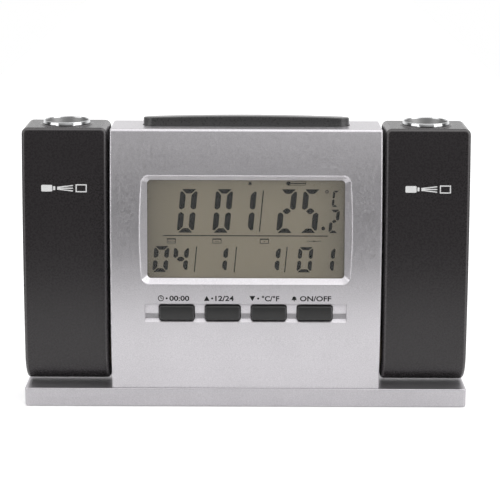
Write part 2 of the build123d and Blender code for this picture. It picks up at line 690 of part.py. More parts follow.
for number, x in enumerate(KEY_XS, start=1):
    with BuildPart() as key:
        with BuildSketch(upright(KEY_FLANGE_FRONT)):
            with Locations((x, KEY_Z)):
                RectangleRounded(KEY_WIDTH, KEY_HEIGHT, KEY_CORNER)
        extrude(amount=KEY_FLANGE_FRONT - KEY_NOSE - KEY_SKIRT)
        with BuildSketch(upright(KEY_NOSE + KEY_SKIRT)):
            with Locations((x, KEY_Z)):
                RectangleRounded(KEY_WIDTH, KEY_HEIGHT, KEY_CORNER)
        extrude(amount=KEY_SKIRT + 0.5, taper=KEY_TAPER)
        with BuildSketch(Plane.YZ.offset(x - KEY_WIDTH)):
            with Locations((KEY_NOSE + KEY_CROWN, KEY_Z)):
                Circle(KEY_CROWN)
        extrude(amount=2 * KEY_WIDTH, mode=Mode.INTERSECT)
        chamfer(key.faces().sort_by(Axis.Y)[0].edges(), KEY_BEVEL)
        with BuildSketch(upright(KEY_FLANGE_FRONT + KEY_FLANGE)):
            with Locations((x, KEY_Z)):
                Rectangle(KEY_WIDTH + 2.4, KEY_HEIGHT + 2.4)
        extrude(amount=KEY_FLANGE)
        with BuildSketch(upright(KEY_STEM_END)):
            with Locations((x, KEY_Z)):
                Circle(PLUNGER_RADIUS)
        extrude(amount=KEY_STEM_END - KEY_FLANGE_FRONT)
    hand_in(key.part, f"key_{number}")

# ==== Snooze bar ==========================================================
BAR_FLANGE_BOTTOM = BAR_FLANGE_TOP - BAR_FLANGE
SNOOZE_PLUNGER_TOP = SNOOZE_BOARD_TOP + SWITCH_BODY + SWITCH_PLUNGER
BAR_STEM_END = SNOOZE_PLUNGER_TOP + BAR_TRAVEL + 0.05
BAR_TILT = math.radians(BAR_LEAN)
BAR_FALL = 1.5 * BAR_DEPTH * math.tan(BAR_TILT)   # of the top, from its front to the sketch

with BuildPart() as snooze_bar:
    with BuildSketch(Plane.XY.offset(BAR_FLANGE_BOTTOM)):
        with Locations((0, BAR_MID_Y)):
            RectangleRounded(BAR_WIDTH, BAR_DEPTH, BAR_CORNER)
    extrude(amount=BODY_TOP + BAR_CROWN_RISE + 1.0 - BAR_FLANGE_BOTTOM)
    with BuildSketch(upright(BAR_MID_Y + BAR_DEPTH)):
        with BuildLine():
            crown = ThreePointArc(
                (-BAR_WIDTH / 2, BODY_TOP + BAR_END_RISE - BAR_FALL),
                (0, BODY_TOP + BAR_CROWN_RISE - BAR_FALL),
                (BAR_WIDTH / 2, BODY_TOP + BAR_END_RISE - BAR_FALL),
            )
            Polyline(
                crown @ 1,
                (BAR_WIDTH / 2, BAR_FLANGE_BOTTOM - 2 * BAR_FALL),
                (-BAR_WIDTH / 2, BAR_FLANGE_BOTTOM - 2 * BAR_FALL),
                crown @ 0,
            )
        make_face()
    forward_and_up = (0, -math.cos(BAR_TILT), math.sin(BAR_TILT))
    extrude(amount=2 * BAR_DEPTH, dir=forward_and_up, mode=Mode.INTERSECT)
    fillet(snooze_bar.faces().sort_by(Axis.Z)[-1].edges(), BAR_EDGE)
    with BuildSketch(Plane.XY.offset(BAR_FLANGE_BOTTOM)):
        with Locations((0, BAR_MID_Y)):
            RectangleRounded(
                BAR_WIDTH + 2 * BAR_FLANGE_LAP,
                BAR_DEPTH + 2 * BAR_FLANGE_LAP,
                BAR_CORNER + BAR_FLANGE_LAP,
            )
    extrude(amount=BAR_FLANGE)
    with BuildSketch(Plane.XY.offset(BAR_FLANGE_BOTTOM)):
        with Locations((0, BAR_MID_Y)):
            RectangleRounded(BAR_WIDTH - 2 * BAR_WALL, BAR_DEPTH - 2 * BAR_WALL, BAR_CORNER - BAR_WALL)
    extrude(amount=BODY_TOP + BAR_END_RISE - BAR_ROOF - BAR_FLANGE_BOTTOM, mode=Mode.SUBTRACT)
    with BuildSketch(Plane.XY.offset(BAR_STEM_END)):
        with Locations((-SNOOZE_SWITCH_X, BAR_MID_Y), (SNOOZE_SWITCH_X, BAR_MID_Y)):
            Circle(PLUNGER_RADIUS)
    extrude(amount=BODY_TOP + BAR_END_RISE - BAR_ROOF / 2 - BAR_STEM_END)
hand_in(snooze_bar.part, "snooze_bar")

with BuildPart() as snooze_board:
    with BuildSketch(Plane.XY.offset(SNOOZE_BOARD_TOP)):
        with Locations((0, BAR_MID_Y)):
            Rectangle(2 * SNOOZE_BOARD_HALF, SNOOZE_BOARD_DEPTH)
        with Locations((-SNOOZE_SCREW_X, BAR_MID_Y), (SNOOZE_SCREW_X, BAR_MID_Y)):
            Circle(SCREW_RADIUS + SEAT_FIT, mode=Mode.SUBTRACT)
    extrude(amount=-SNOOZE_BOARD_THICK)
hand_in(snooze_board.part, "snooze_board")

with BuildPart() as snooze_board_screws:
    with Locations(
        (-SNOOZE_SCREW_X, BAR_MID_Y, SNOOZE_BOARD_TOP),
        (SNOOZE_SCREW_X, BAR_MID_Y, SNOOZE_BOARD_TOP),
    ):
        add(screw(SNOOZE_BOARD_THICK + SNOOZE_SCREW_GRIP))
hand_in(snooze_board_screws.part, "snooze_board_screws")

with BuildPart() as snooze_switches:
    with Locations(
        (-SNOOZE_SWITCH_X, BAR_MID_Y, SNOOZE_BOARD_TOP),
        (SNOOZE_SWITCH_X, BAR_MID_Y, SNOOZE_BOARD_TOP),
    ):
        add(tact_switch())
hand_in(snooze_switches.part, "snooze_switches")

# ==== Rear cover and batteries ============================================
BAY_HALF = (CELL_LENGTH + SPRING_LENGTH) / 2 + CONTACT_THICK + CELL_SLACK
BAY_Z0 = DECK + BAY_LOW
BAY_Z1 = BAY_Z0 + (CELL_COUNT - 1) * CELL_PITCH + 2 * (CELL_RADIUS + CELL_SLACK)
BAY_MID_Z = (BAY_Z0 + BAY_Z1) / 2
BAY_TALL = BAY_Z1 - BAY_Z0
DOOR_INNER = BODY_BACK - DOOR_THICK
BAY_FLOOR = DOOR_INNER - 2 * (CELL_RADIUS + CELL_SLACK)
DOOR_WIDTH = 2 * (BAY_HALF + DOOR_LAP - DOOR_GAP)
DOOR_TALL = BAY_TALL + 2 * (DOOR_LAP - DOOR_GAP)
DOOR_LOW = BAY_MID_Z - DOOR_TALL / 2
HOOK_FRONT = BODY_BACK - REAR_WALL - 1.4
HOOK_BACK = BODY_BACK - REAR_WALL - 0.2
HOOK_DROP = 1.5
HOOK_TOP = DOOR_LOW + 1.2
LIP_THICK = 1.2
LIP_TALL = 40.0
LIP_RISE = 55.0      # height of the lips' middle above the base plate
LIP_DEPTH = 2.5

with BuildPart() as rear_cover:
    add(body_block.part)
    with BuildSketch(upright(BODY_BACK)):
        with Locations((0, (DECK + BODY_TOP) / 2)):
            Rectangle(BODY_WIDTH, BODY_HEIGHT)
    extrude(amount=REAR_WALL, mode=Mode.INTERSECT)
    # Lips that centre it in the front shell
    with BuildSketch(upright(SEAM)):
        for side in SIDES.values():
            with Locations((side * (INNER_HALF - SEAT_FIT - LIP_THICK / 2), DECK + LIP_RISE)):
                Rectangle(LIP_THICK, LIP_TALL)
    extrude(amount=LIP_DEPTH)
    # Battery bay
    with BuildSketch(upright(SEAM)):
        with Locations((0, BAY_MID_Z)):
            Rectangle(2 * (BAY_HALF + BAY_WALL), BAY_TALL + 2 * BAY_WALL)
    extrude(amount=SEAM - BAY_FLOOR + BAY_WALL)
    with BuildSketch(upright(BODY_BACK)):
        with Locations((0, BAY_MID_Z)):
            Rectangle(2 * BAY_HALF, BAY_TALL)
    extrude(amount=BODY_BACK - BAY_FLOOR, mode=Mode.SUBTRACT)
    with BuildSketch(upright(BODY_BACK)):
        with Locations((0, BAY_MID_Z)):
            Rectangle(DOOR_WIDTH + 2 * DOOR_GAP, DOOR_TALL + 2 * DOOR_GAP)
    extrude(amount=DOOR_THICK, mode=Mode.SUBTRACT)
    # Notches for the door's hooks
    with BuildSketch(upright(DOOR_INNER)):
        with Locations(*[
            (side * HOOK_X, (DOOR_LOW - DOOR_GAP + BAY_Z0 + 0.1) / 2)
            for side in SIDES.values()
        ]):
            Rectangle(HOOK_WIDTH + 2 * DOOR_GAP, BAY_Z0 + 0.1 - DOOR_LOW + DOOR_GAP)
    extrude(amount=DOOR_INNER - HOOK_FRONT + 0.6, mode=Mode.SUBTRACT)
    # Bosses for the base screws
    with BuildSketch(Plane.XY.offset(DECK)):
        with Locations((-BASE_SCREW_X, BASE_SCREW_BACK), (BASE_SCREW_X, BASE_SCREW_BACK)):
            Circle(BOSS_RADIUS)
    extrude(amount=BASE_BOSS_RISE)
    with BuildSketch(Plane.XY.offset(DECK)):
        with Locations((-BASE_SCREW_X, BASE_SCREW_BACK), (BASE_SCREW_X, BASE_SCREW_BACK)):
            Circle(SCREW_RADIUS + SEAT_FIT)
    extrude(amount=BASE_BOSS_RISE - 1.5, mode=Mode.SUBTRACT)
    # Wells for the case screws
    with BuildSketch(upright(BODY_BACK)):
        with Locations(*CASE_SCREWS):
            Circle(SCREW_HEAD + SEAT_FIT)
    extrude(amount=WELL_DEPTH, mode=Mode.SUBTRACT)
    with BuildSketch(upright(BODY_BACK)):
        with Locations(*CASE_SCREWS):
            Circle(SCREW_RADIUS + SEAT_FIT)
    extrude(amount=REAR_WALL, mode=Mode.SUBTRACT)
    # Sound slots over the buzzer
    with BuildSketch(upright(BODY_BACK)):
        with Locations(*[
            (BUZZER_X, CHIP_Z + SLOT_PITCH * step) for step in (-2, -1, 0, 1, 2)
        ]):
            SlotOverall(SLOT_LENGTH, SLOT_WIDTH)
    extrude(amount=REAR_WALL, mode=Mode.SUBTRACT)
hand_in(rear_cover.part, "rear_cover")

with BuildPart() as case_screws:
    with Locations(*[
        Plane(origin=(x, BODY_BACK - WELL_DEPTH, z), z_dir=(0, 1, 0)).location
        for x, z in CASE_SCREWS
    ]):
        add(screw(CASE_SCREW_LENGTH))
hand_in(case_screws.part, "case_screws")

with BuildPart() as battery_door:
    with BuildSketch(upright(BODY_BACK)):
        with Locations((0, BAY_MID_Z)):
            Rectangle(DOOR_WIDTH, DOOR_TALL)
    extrude(amount=DOOR_THICK)
    with BuildSketch(upright(BODY_BACK)):
        with Locations(*[(0, DOOR_LOW + DOOR_TALL - 4 - 1.6 * row) for row in range(4)]):
            SlotOverall(12, 0.8)
    extrude(amount=0.4, mode=Mode.SUBTRACT)
    for side in SIDES.values():
        with BuildSketch(Plane.YZ.offset(side * HOOK_X - HOOK_WIDTH / 2)):
            with BuildLine():
                Polyline(
                    (DOOR_INNER, DOOR_LOW),
                    (HOOK_BACK, DOOR_LOW),
                    (HOOK_BACK, DOOR_LOW - HOOK_DROP),
                    (HOOK_FRONT, DOOR_LOW - HOOK_DROP),
                    (HOOK_FRONT, HOOK_TOP),
                    (DOOR_INNER, HOOK_TOP),
                    close=True,
                )
            make_face()
        extrude(amount=HOOK_WIDTH)
hand_in(battery_door.part, "battery_door")

CELL_Y = BAY_FLOOR + CELL_SLACK + CELL_RADIUS
CELL_ROWS = [
    (BAY_Z0 + CELL_SLACK + CELL_RADIUS + i * CELL_PITCH, 1 if i % 2 == 0 else -1)
    for i in range(CELL_COUNT)
]
NUB_X = BAY_HALF - CONTACT_THICK
CELL_CAN = CELL_LENGTH - CELL_NUB

with BuildPart() as batteries:
    for z, way in CELL_ROWS:
        can_x = way * (NUB_X - CELL_NUB - CELL_CAN / 2)
        with BuildSketch(Plane.YZ.offset(can_x - CELL_CAN / 2)):
            with Locations((CELL_Y, z)):
                Circle(CELL_RADIUS)
        extrude(amount=CELL_CAN)
        nub_x = way * (NUB_X - CELL_NUB / 2)
        with BuildSketch(Plane.YZ.offset(nub_x - CELL_NUB / 2)):
            with Locations((CELL_Y, z)):
                Circle(CELL_NUB_RADIUS)
        extrude(amount=CELL_NUB)
hand_in(batteries.part, "batteries")

with BuildPart() as battery_contacts:
    for x in (-BAY_HALF, NUB_X):
        with BuildSketch(Plane.YZ.offset(x)):
            with Locations(*[(CELL_Y, z) for z, way in CELL_ROWS]):
                Rectangle(CONTACT_WIDTH, CONTACT_WIDTH)
        extrude(amount=CONTACT_THICK)
hand_in(battery_contacts.part, "battery_contacts")

COIL_WIRE = 0.25
COIL_RADIUS = 2.8
COIL_RUN = 2 * BAY_HALF - 2 * CONTACT_THICK - CELL_LENGTH - 2 * COIL_WIRE - 0.1

with BuildPart() as battery_springs:
    for z, way in CELL_ROWS:
        start_x = -way * (NUB_X - COIL_WIRE)
        with BuildLine():
            coil = Helix(
                pitch=COIL_RUN / 3,
                height=COIL_RUN,
                radius=COIL_RADIUS,
                center=(start_x, CELL_Y, z),
                direction=(way, 0, 0),
            )
        with BuildSketch(Plane(origin=coil @ 0, z_dir=coil % 0)):
            Circle(COIL_WIRE)
        sweep(is_frenet=True)
hand_in(battery_springs.part, "battery_springs")

# ==== Projector arms ======================================================
POD_OUTER_X = POD_INNER_X + POD_WIDTH
POD_BACK = pod_front(POD_CROWN) + POD_TOP_DEPTH
HEEL_REACH = math.hypot(POD_BACK - AXIS_Y, POD_CROWN - AXIS_Z)
HEEL_ANGLE = math.atan2(POD_CROWN - AXIS_Z, POD_BACK - AXIS_Y) - math.acos(
    POD_END_RADIUS / HEEL_REACH
)
HEEL = (
    AXIS_Y + POD_END_RADIUS * math.cos(HEEL_ANGLE),
    AXIS_Z + POD_END_RADIUS * math.sin(HEEL_ANGLE),
)
SPINE = math.hypot(POD_BACK - HEEL[0], POD_CROWN - HEEL[1])
# Back face of an arm: origin at its heel, y up the face, z outward.
POD_REAR = Plane(
    origin=(0, HEEL[0], HEEL[1]),
    x_dir=(-1, 0, 0),
    z_dir=(0, math.cos(HEEL_ANGLE), math.sin(HEEL_ANGLE)),
)
LOWER_SCREW = 20.0    # up the back face from the heel
UPPER_SCREW = SPINE - 6.0
UPPER_SCREW_X = 11.2
POD_BOSS = 2.6
TUBE_WEB = 1.2
TUBE_HIGH = POD_TOP - BARREL_SINK - BARREL_LENGTH - FOCUS_TRAVEL - TUBE_CLEAR


def across(side, near, far):
    """Sketch plane and depth between two distances from the middle, on one side."""
    return Plane.YZ.offset(min(side * near, side * far)), far - near


def arm_outline(inset=0.0):
    """Side view of an arm: bowed front, round lower end, back that leans."""
    middle = (AXIS_Z + POD_CROWN) / 2
    toe = (AXIS_Y - POD_END_RADIUS, AXIS_Z)
    with BuildSketch(Plane.XY, mode=Mode.PRIVATE) as outline:
        with BuildLine():
            face = ThreePointArc(
                (pod_front(POD_CROWN), POD_CROWN), (pod_front(middle), middle), toe
            )
            ThreePointArc(toe, (AXIS_Y, AXIS_Z - POD_END_RADIUS), HEEL)
            Polyline(HEEL, (POD_BACK, POD_CROWN), face @ 0)
        make_face()
        if inset:
            offset(amount=-inset, mode=Mode.REPLACE)
    return outline.sketch


for name, side in SIDES.items():
    mid_x = side * POD_MID_X
    lens_spot = (mid_x, LENS_Y)
    cover_screws = [
        (-mid_x, LOWER_SCREW),
        (-mid_x - UPPER_SCREW_X, UPPER_SCREW),
        (-mid_x + UPPER_SCREW_X, UPPER_SCREW),
    ]

    with BuildPart(mode=Mode.PRIVATE) as arm_block:
        plane, depth = across(side, POD_INNER_X, POD_OUTER_X)
        with BuildSketch(plane):
            add(arm_outline())
        extrude(amount=depth)
        roof = arm_block.faces().sort_by(Axis.Z)[-1]
        fillet(roof.edges().filter_by(Axis.Y), POD_CORNER)
        rim = []
        for edge in arm_block.edges():
            spot = edge.center()
            at_end = min(abs(abs(spot.X) - POD_INNER_X), abs(abs(spot.X) - POD_OUTER_X)) < 0.01
            along_depth = abs((edge @ 1 - edge @ 0).Y) > POD_TOP_DEPTH - 1 and spot.Z > POD_CROWN / 2
            if (at_end or spot.Z > POD_CROWN - POD_CORNER) and not along_depth:
                rim.append(edge)
        fillet(rim, POD_EDGE)
        # Low cone around the focus ring
        spread = math.tan(math.radians(COLLAR_TAPER))
        with BuildSketch(Plane.XY.offset(POD_CROWN - COLLAR_RISE)):
            with Locations(lens_spot):
                Circle(COLLAR_RADIUS + COLLAR_RISE * spread)
        extrude(amount=2 * COLLAR_RISE, taper=COLLAR_TAPER)

    with BuildPart() as arm_shell:
        add(arm_block.part)
        plane, depth = across(side, POD_INNER_X + POD_WALL, POD_OUTER_X - POD_WALL)
        with BuildSketch(plane):
            add(arm_outline(POD_WALL))
        extrude(amount=depth, mode=Mode.SUBTRACT)
        # Screw bosses and the two webs behind the front, for the light tube
        with BuildSketch(POD_REAR.offset(-POD_COVER)):
            with Locations(*cover_screws):
                Circle(POD_BOSS)
        extrude(amount=-POD_TOP_DEPTH)
        with BuildSketch(Plane.XY.offset(DECK + TUBE_LOW + 2)):
            for web in (-1, 1):
                with Locations((mid_x + web * TUBE_OUTER / 3, LENS_Y - TUBE_OUTER / 2 - SEAT_FIT - 7)):
                    Rectangle(TUBE_WEB, 14)
        extrude(amount=TUBE_HIGH - TUBE_LOW - 4)
        add(arm_block.part, mode=Mode.INTERSECT)
        with BuildSketch(POD_REAR.offset(-POD_COVER)):
            with Locations((-mid_x, SPINE)):
                Rectangle(POD_WIDTH, 2 * SPINE)
        extrude(amount=2 * POD_COVER, mode=Mode.SUBTRACT)
        with BuildSketch(POD_REAR.offset(-POD_COVER)):
            with Locations(*cover_screws):
                Circle(SCREW_RADIUS + SEAT_FIT)
        extrude(amount=-7.0, mode=Mode.SUBTRACT)
        with BuildSketch(Plane.XY.offset(POD_CROWN + COLLAR_RISE)):
            with Locations(lens_spot):
                Circle(RING_NECK_RADIUS + RUN_FIT)
        extrude(amount=-COLLAR_RISE - 2 * POD_WALL, mode=Mode.SUBTRACT)
        plane, depth = across(side, POD_INNER_X, POD_INNER_X + POD_WALL)
        with BuildSketch(plane):
            with Locations((AXIS_Y, AXIS_Z)):
                Circle(HUB_RADIUS + SEAT_FIT / 2)
        extrude(amount=depth, mode=Mode.SUBTRACT)
    hand_in(arm_shell.part, f"{name}_arm_shell")

    with BuildPart() as arm_cover:
        add(arm_block.part)
        with BuildSketch(POD_REAR.offset(-POD_COVER)):
            with Locations((-mid_x, SPINE)):
                Rectangle(POD_WIDTH, 2 * SPINE)
        extrude(amount=2 * POD_COVER, mode=Mode.INTERSECT)
        with BuildSketch(POD_REAR):
            with Locations(*cover_screws):
                Circle(SCREW_HEAD + SEAT_FIT)
        extrude(amount=-WELL_DEPTH, mode=Mode.SUBTRACT)
        with BuildSketch(POD_REAR):
            with Locations(*cover_screws):
                Circle(SCREW_RADIUS + SEAT_FIT)
        extrude(amount=-POD_COVER, mode=Mode.SUBTRACT)
    hand_in(arm_cover.part, f"{name}_arm_cover")

    with BuildPart() as arm_screws:
        seats = POD_REAR.offset(-WELL_DEPTH)
        with Locations(*[
            seats.location * Location((x, up, 0)) for x, up in cover_screws
        ]):
            add(screw(ARM_SCREW_LENGTH))
    hand_in(arm_screws.part, f"{name}_arm_screws")

    with BuildPart() as pivot_hub:
        for radius, near, far in (
            (HUB_RADIUS, INNER_HALF - 3.0, POD_INNER_X + POD_WALL),
            (HUB_FLANGE_RADIUS, POD_INNER_X + POD_WALL, POD_INNER_X + POD_WALL + HUB_FLANGE),
        ):
            plane, depth = across(side, near, far)
            with BuildSketch(plane):
                with Locations((AXIS_Y, AXIS_Z)):
                    Circle(radius)
            extrude(amount=depth)
        plane, depth = across(side, INNER_HALF - FACE_GAP - CLIP_THICK, INNER_HALF - FACE_GAP)
        with BuildSketch(plane):
            with Locations((AXIS_Y, AXIS_Z)):
                Circle(HUB_RADIUS)
                Circle(HUB_RADIUS - 0.5, mode=Mode.SUBTRACT)
        extrude(amount=depth, mode=Mode.SUBTRACT)
        plane, depth = across(side, INNER_HALF - 3.0, POD_OUTER_X)
        with BuildSketch(plane):
            with Locations((AXIS_Y, AXIS_Z)):
                Circle(HUB_BORE)
        extrude(amount=depth, mode=Mode.SUBTRACT)
    hand_in(pivot_hub.part, f"{name}_pivot_hub")

    with BuildPart() as pivot_clip:
        plane, depth = across(side, INNER_HALF - FACE_GAP - CLIP_THICK, INNER_HALF - FACE_GAP)
        with BuildSketch(plane):
            with Locations((AXIS_Y, AXIS_Z)):
                Circle(CLIP_RADIUS)
                Circle(HUB_RADIUS - 0.5, mode=Mode.SUBTRACT)
            with Locations((AXIS_Y, AXIS_Z + CLIP_RADIUS)):
                Rectangle(5.0, 2 * CLIP_RADIUS, mode=Mode.SUBTRACT)
        extrude(amount=depth)
    hand_in(pivot_clip.part, f"{name}_pivot_clip")

    with BuildPart() as friction_washer:
        plane, depth = across(side, BODY_HALF + FACE_GAP, POD_INNER_X - FACE_GAP)
        with BuildSketch(plane):
            with Locations((AXIS_Y, AXIS_Z)):
                Circle(WASHER_RADIUS)
                Circle(HUB_RADIUS + RUN_FIT, mode=Mode.SUBTRACT)
        extrude(amount=depth)
    hand_in(friction_washer.part, f"{name}_friction_washer")

    # Focus ring: a low cup with a round rim, its neck down through the shell
    crown = Plane.XZ.offset(-LENS_Y)
    bore = BARREL_RADIUS + RUN_FIT
    neck_low = POD_CROWN - POD_WALL - 2.2
    clip_top = POD_CROWN - POD_WALL - FACE_GAP
    clip_low = clip_top - CLIP_THICK
    ring_low = POD_CROWN + COLLAR_RISE + FACE_GAP
    with BuildPart() as focus_ring:
        with BuildSketch(crown) as profile:
            with BuildLine():
                Polyline(
                    (mid_x + bore, neck_low),
                    (mid_x + RING_NECK_RADIUS, neck_low),
                    (mid_x + RING_NECK_RADIUS, clip_low),
                    (mid_x + RING_NECK_RADIUS - 0.6, clip_low),
                    (mid_x + RING_NECK_RADIUS - 0.6, clip_top),
                    (mid_x + RING_NECK_RADIUS, clip_top),
                    (mid_x + RING_NECK_RADIUS, ring_low),
                    (mid_x + RING_FOOT_RADIUS, ring_low),
                    (mid_x + RING_FOOT_RADIUS, ring_low + 0.25),
                )
                flank = RadiusArc(
                    (mid_x + RING_FOOT_RADIUS, ring_low + 0.25),
                    (mid_x + RING_RIM_RADIUS, POD_CROWN + RING_RISE - 0.3),
                    -8.0,
                )
                rim = ThreePointArc(
                    flank @ 1,
                    (mid_x + RING_RIM_RADIUS - 0.3, POD_CROWN + RING_RISE),
                    (mid_x + RING_RIM_RADIUS - 0.6, POD_CROWN + RING_RISE - 0.25),
                )
                Polyline(
                    rim @ 1,
                    (mid_x + RING_CUP_RADIUS, POD_CROWN + RING_RISE - RING_CUP),
                    (mid_x + bore, POD_CROWN + RING_RISE - RING_CUP),
                    (mid_x + bore, neck_low),
                )
            make_face()
        revolve(axis=Axis((mid_x, LENS_Y, 0), (0, 0, 1)))
    hand_in(focus_ring.part, f"{name}_focus_ring")

    with BuildPart() as ring_clip:
        with BuildSketch(Plane.XY.offset(clip_low)):
            with Locations(lens_spot):
                Circle(RING_NECK_RADIUS + 0.5)
                Circle(RING_NECK_RADIUS - 0.6, mode=Mode.SUBTRACT)
            with Locations((mid_x, LENS_Y - RING_NECK_RADIUS)):
                Rectangle(5.0, 8.0, mode=Mode.SUBTRACT)
        extrude(amount=CLIP_THICK)
    hand_in(ring_clip.part, f"{name}_ring_clip")

    barrel_top = POD_CROWN - BARREL_SINK
    lens_low = barrel_top - 0.5 - LENS_THICK
    with BuildPart() as focus_barrel:
        with BuildSketch(Plane.XY.offset(barrel_top)):
            with Locations(lens_spot):
                Circle(BARREL_RADIUS)
        extrude(amount=-BARREL_LENGTH)
        with BuildSketch(Plane.XY.offset(barrel_top)):
            with Locations(lens_spot):
                Circle(BARREL_RADIUS - BARREL_WALL)
        extrude(amount=lens_low - barrel_top, mode=Mode.SUBTRACT)
        with BuildSketch(Plane.XY.offset(barrel_top)):
            with Locations(lens_spot):
                Circle(BARREL_RADIUS - BARREL_WALL - 0.8)
        extrude(amount=-BARREL_LENGTH, mode=Mode.SUBTRACT)
    hand_in(focus_barrel.part, f"{name}_focus_barrel")

    lens_radius = BARREL_RADIUS - BARREL_WALL - SEAT_FIT
    with BuildPart() as lens:
        with BuildSketch(crown):
            with BuildLine():
                rise = LENS_THICK * 0.35
                top_arc = ThreePointArc(
                    (mid_x - lens_radius, lens_low + LENS_THICK - rise),
                    (mid_x, lens_low + LENS_THICK),
                    (mid_x + lens_radius, lens_low + LENS_THICK - rise),
                )
                Polyline(
                    top_arc @ 1,
                    (mid_x + lens_radius, lens_low),
                    (mid_x - lens_radius, lens_low),
                    top_arc @ 0,
                )
            make_face()
            with Locations((mid_x - lens_radius, lens_low + LENS_THICK / 2)):
                Rectangle(2 * lens_radius, 2 * LENS_THICK, mode=Mode.SUBTRACT)
        revolve(axis=Axis((mid_x, LENS_Y, 0), (0, 0, 1)))
    hand_in(lens.part, f"{name}_lens")

    with BuildPart() as light_tube:
        with BuildSketch(Plane.XY.offset(DECK + TUBE_LOW)):
            with Locations(lens_spot):
                Rectangle(TUBE_OUTER, TUBE_OUTER)
                Rectangle(
                    TUBE_OUTER - 2 * TUBE_WALL, TUBE_OUTER - 2 * TUBE_WALL, mode=Mode.SUBTRACT
                )
        extrude(amount=TUBE_HIGH - TUBE_LOW)
        with BuildSketch(Plane.XY.offset(DECK + TUBE_HIGH)):
            with Locations(lens_spot):
                Rectangle(TUBE_OUTER - TUBE_WALL, TUBE_OUTER - TUBE_WALL)
        extrude(amount=-SLIDE_THICK, mode=Mode.SUBTRACT)
    hand_in(light_tube.part, f"{name}_light_tube")

    with BuildPart() as slide:
        with BuildSketch(Plane.XY.offset(DECK + TUBE_HIGH)):
            with Locations(lens_spot):
                side_length = TUBE_OUTER - TUBE_WALL - 2 * SEAT_FIT
                Rectangle(side_length, side_length)
        extrude(amount=-SLIDE_THICK)
    hand_in(slide.part, f"{name}_projector_slide")

    with BuildPart() as lamp_board:
        with BuildSketch(Plane.XY.offset(DECK + TUBE_LOW)):
            with Locations(lens_spot):
                Rectangle(TUBE_OUTER + 3, TUBE_OUTER)
        extrude(amount=-LAMP_BOARD_THICK)
    hand_in(lamp_board.part, f"{name}_lamp_board")

    with BuildPart() as lamp:
        with BuildSketch(Plane.XY.offset(DECK + TUBE_LOW)):
            with Locations(lens_spot):
                Circle(LAMP_RADIUS + 0.4)
        extrude(amount=1.0)
        with BuildSketch(Plane.XY.offset(DECK + TUBE_LOW + 1.0)):
            with Locations(lens_spot):
                Circle(LAMP_RADIUS)
        extrude(amount=5.0)
        fillet(lamp.edges().sort_by(Axis.Z)[-1], LAMP_RADIUS - 0.1)
    hand_in(lamp.part, f"{name}_lamp")
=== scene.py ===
import json
import math

import bmesh
import bpy
from mathutils import Matrix, Vector


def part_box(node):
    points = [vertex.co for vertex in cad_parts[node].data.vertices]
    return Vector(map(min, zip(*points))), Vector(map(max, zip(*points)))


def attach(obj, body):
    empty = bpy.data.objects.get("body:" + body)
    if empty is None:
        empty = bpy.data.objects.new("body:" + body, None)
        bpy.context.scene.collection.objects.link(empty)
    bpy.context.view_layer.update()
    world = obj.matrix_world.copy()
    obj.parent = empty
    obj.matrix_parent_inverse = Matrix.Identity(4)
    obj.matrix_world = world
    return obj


# Projection alarm clock. Metres, +Z up, the clock's front faces -Y.
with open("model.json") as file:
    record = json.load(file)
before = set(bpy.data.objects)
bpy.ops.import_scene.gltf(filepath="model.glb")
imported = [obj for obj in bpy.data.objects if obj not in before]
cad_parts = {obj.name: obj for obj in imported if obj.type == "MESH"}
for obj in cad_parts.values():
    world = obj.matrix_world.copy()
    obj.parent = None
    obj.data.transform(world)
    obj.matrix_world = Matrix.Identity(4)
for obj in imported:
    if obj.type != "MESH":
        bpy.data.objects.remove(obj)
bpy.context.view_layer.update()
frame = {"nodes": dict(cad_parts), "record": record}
nodes = frame["nodes"]
MM = 0.001

# ---- Camera: the photograph's viewing angle ------------------------------
CAM_DISTANCE = 617.5 * MM    # ahead of the base plate's front face
CAM_RISE = 198.9 * MM        # above the base plate's top
CAM_ASIDE = 1.406 * MM
CAM_PITCH = math.radians(13.135)
CAM_YAW = math.radians(0.031)
CAM_ROLL = math.radians(0.191)
CAM_FOCAL_PX = 1679.8
PHOTO_SIDE_PX = 500
CAM_SHIFT_PX = 1.28

base_low, base_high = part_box("base_plate")
BASE_FRONT = base_low.y
DECK = base_high.z


def add_camera():
    sy, cy = math.sin(CAM_YAW), math.cos(CAM_YAW)
    sp, cp = math.sin(CAM_PITCH), math.cos(CAM_PITCH)
    forward = Vector((-sy * cp, cy * cp, -sp))
    right = Vector((cy, sy, 0))
    up = Vector((-sy * sp, cy * sp, cp))
    sr, cr = math.sin(CAM_ROLL), math.cos(CAM_ROLL)
    right, up = right * cr + up * sr, up * cr - right * sr
    data = bpy.data.cameras.new("photo_camera")
    data.sensor_width = 36
    data.sensor_fit = "HORIZONTAL"
    data.lens = CAM_FOCAL_PX / PHOTO_SIDE_PX * data.sensor_width
    data.shift_x = CAM_SHIFT_PX / PHOTO_SIDE_PX
    data.clip_start = 0.01
    data.clip_end = 50
    camera = bpy.data.objects.new("photo_camera", data)
    bpy.context.scene.collection.objects.link(camera)
    turn = Matrix((right, up, -forward)).transposed().to_4x4()
    place = Vector((CAM_ASIDE, BASE_FRONT - CAM_DISTANCE, DECK + CAM_RISE))
    camera.matrix_world = Matrix.Translation(place) @ turn
    bpy.context.scene.camera = camera


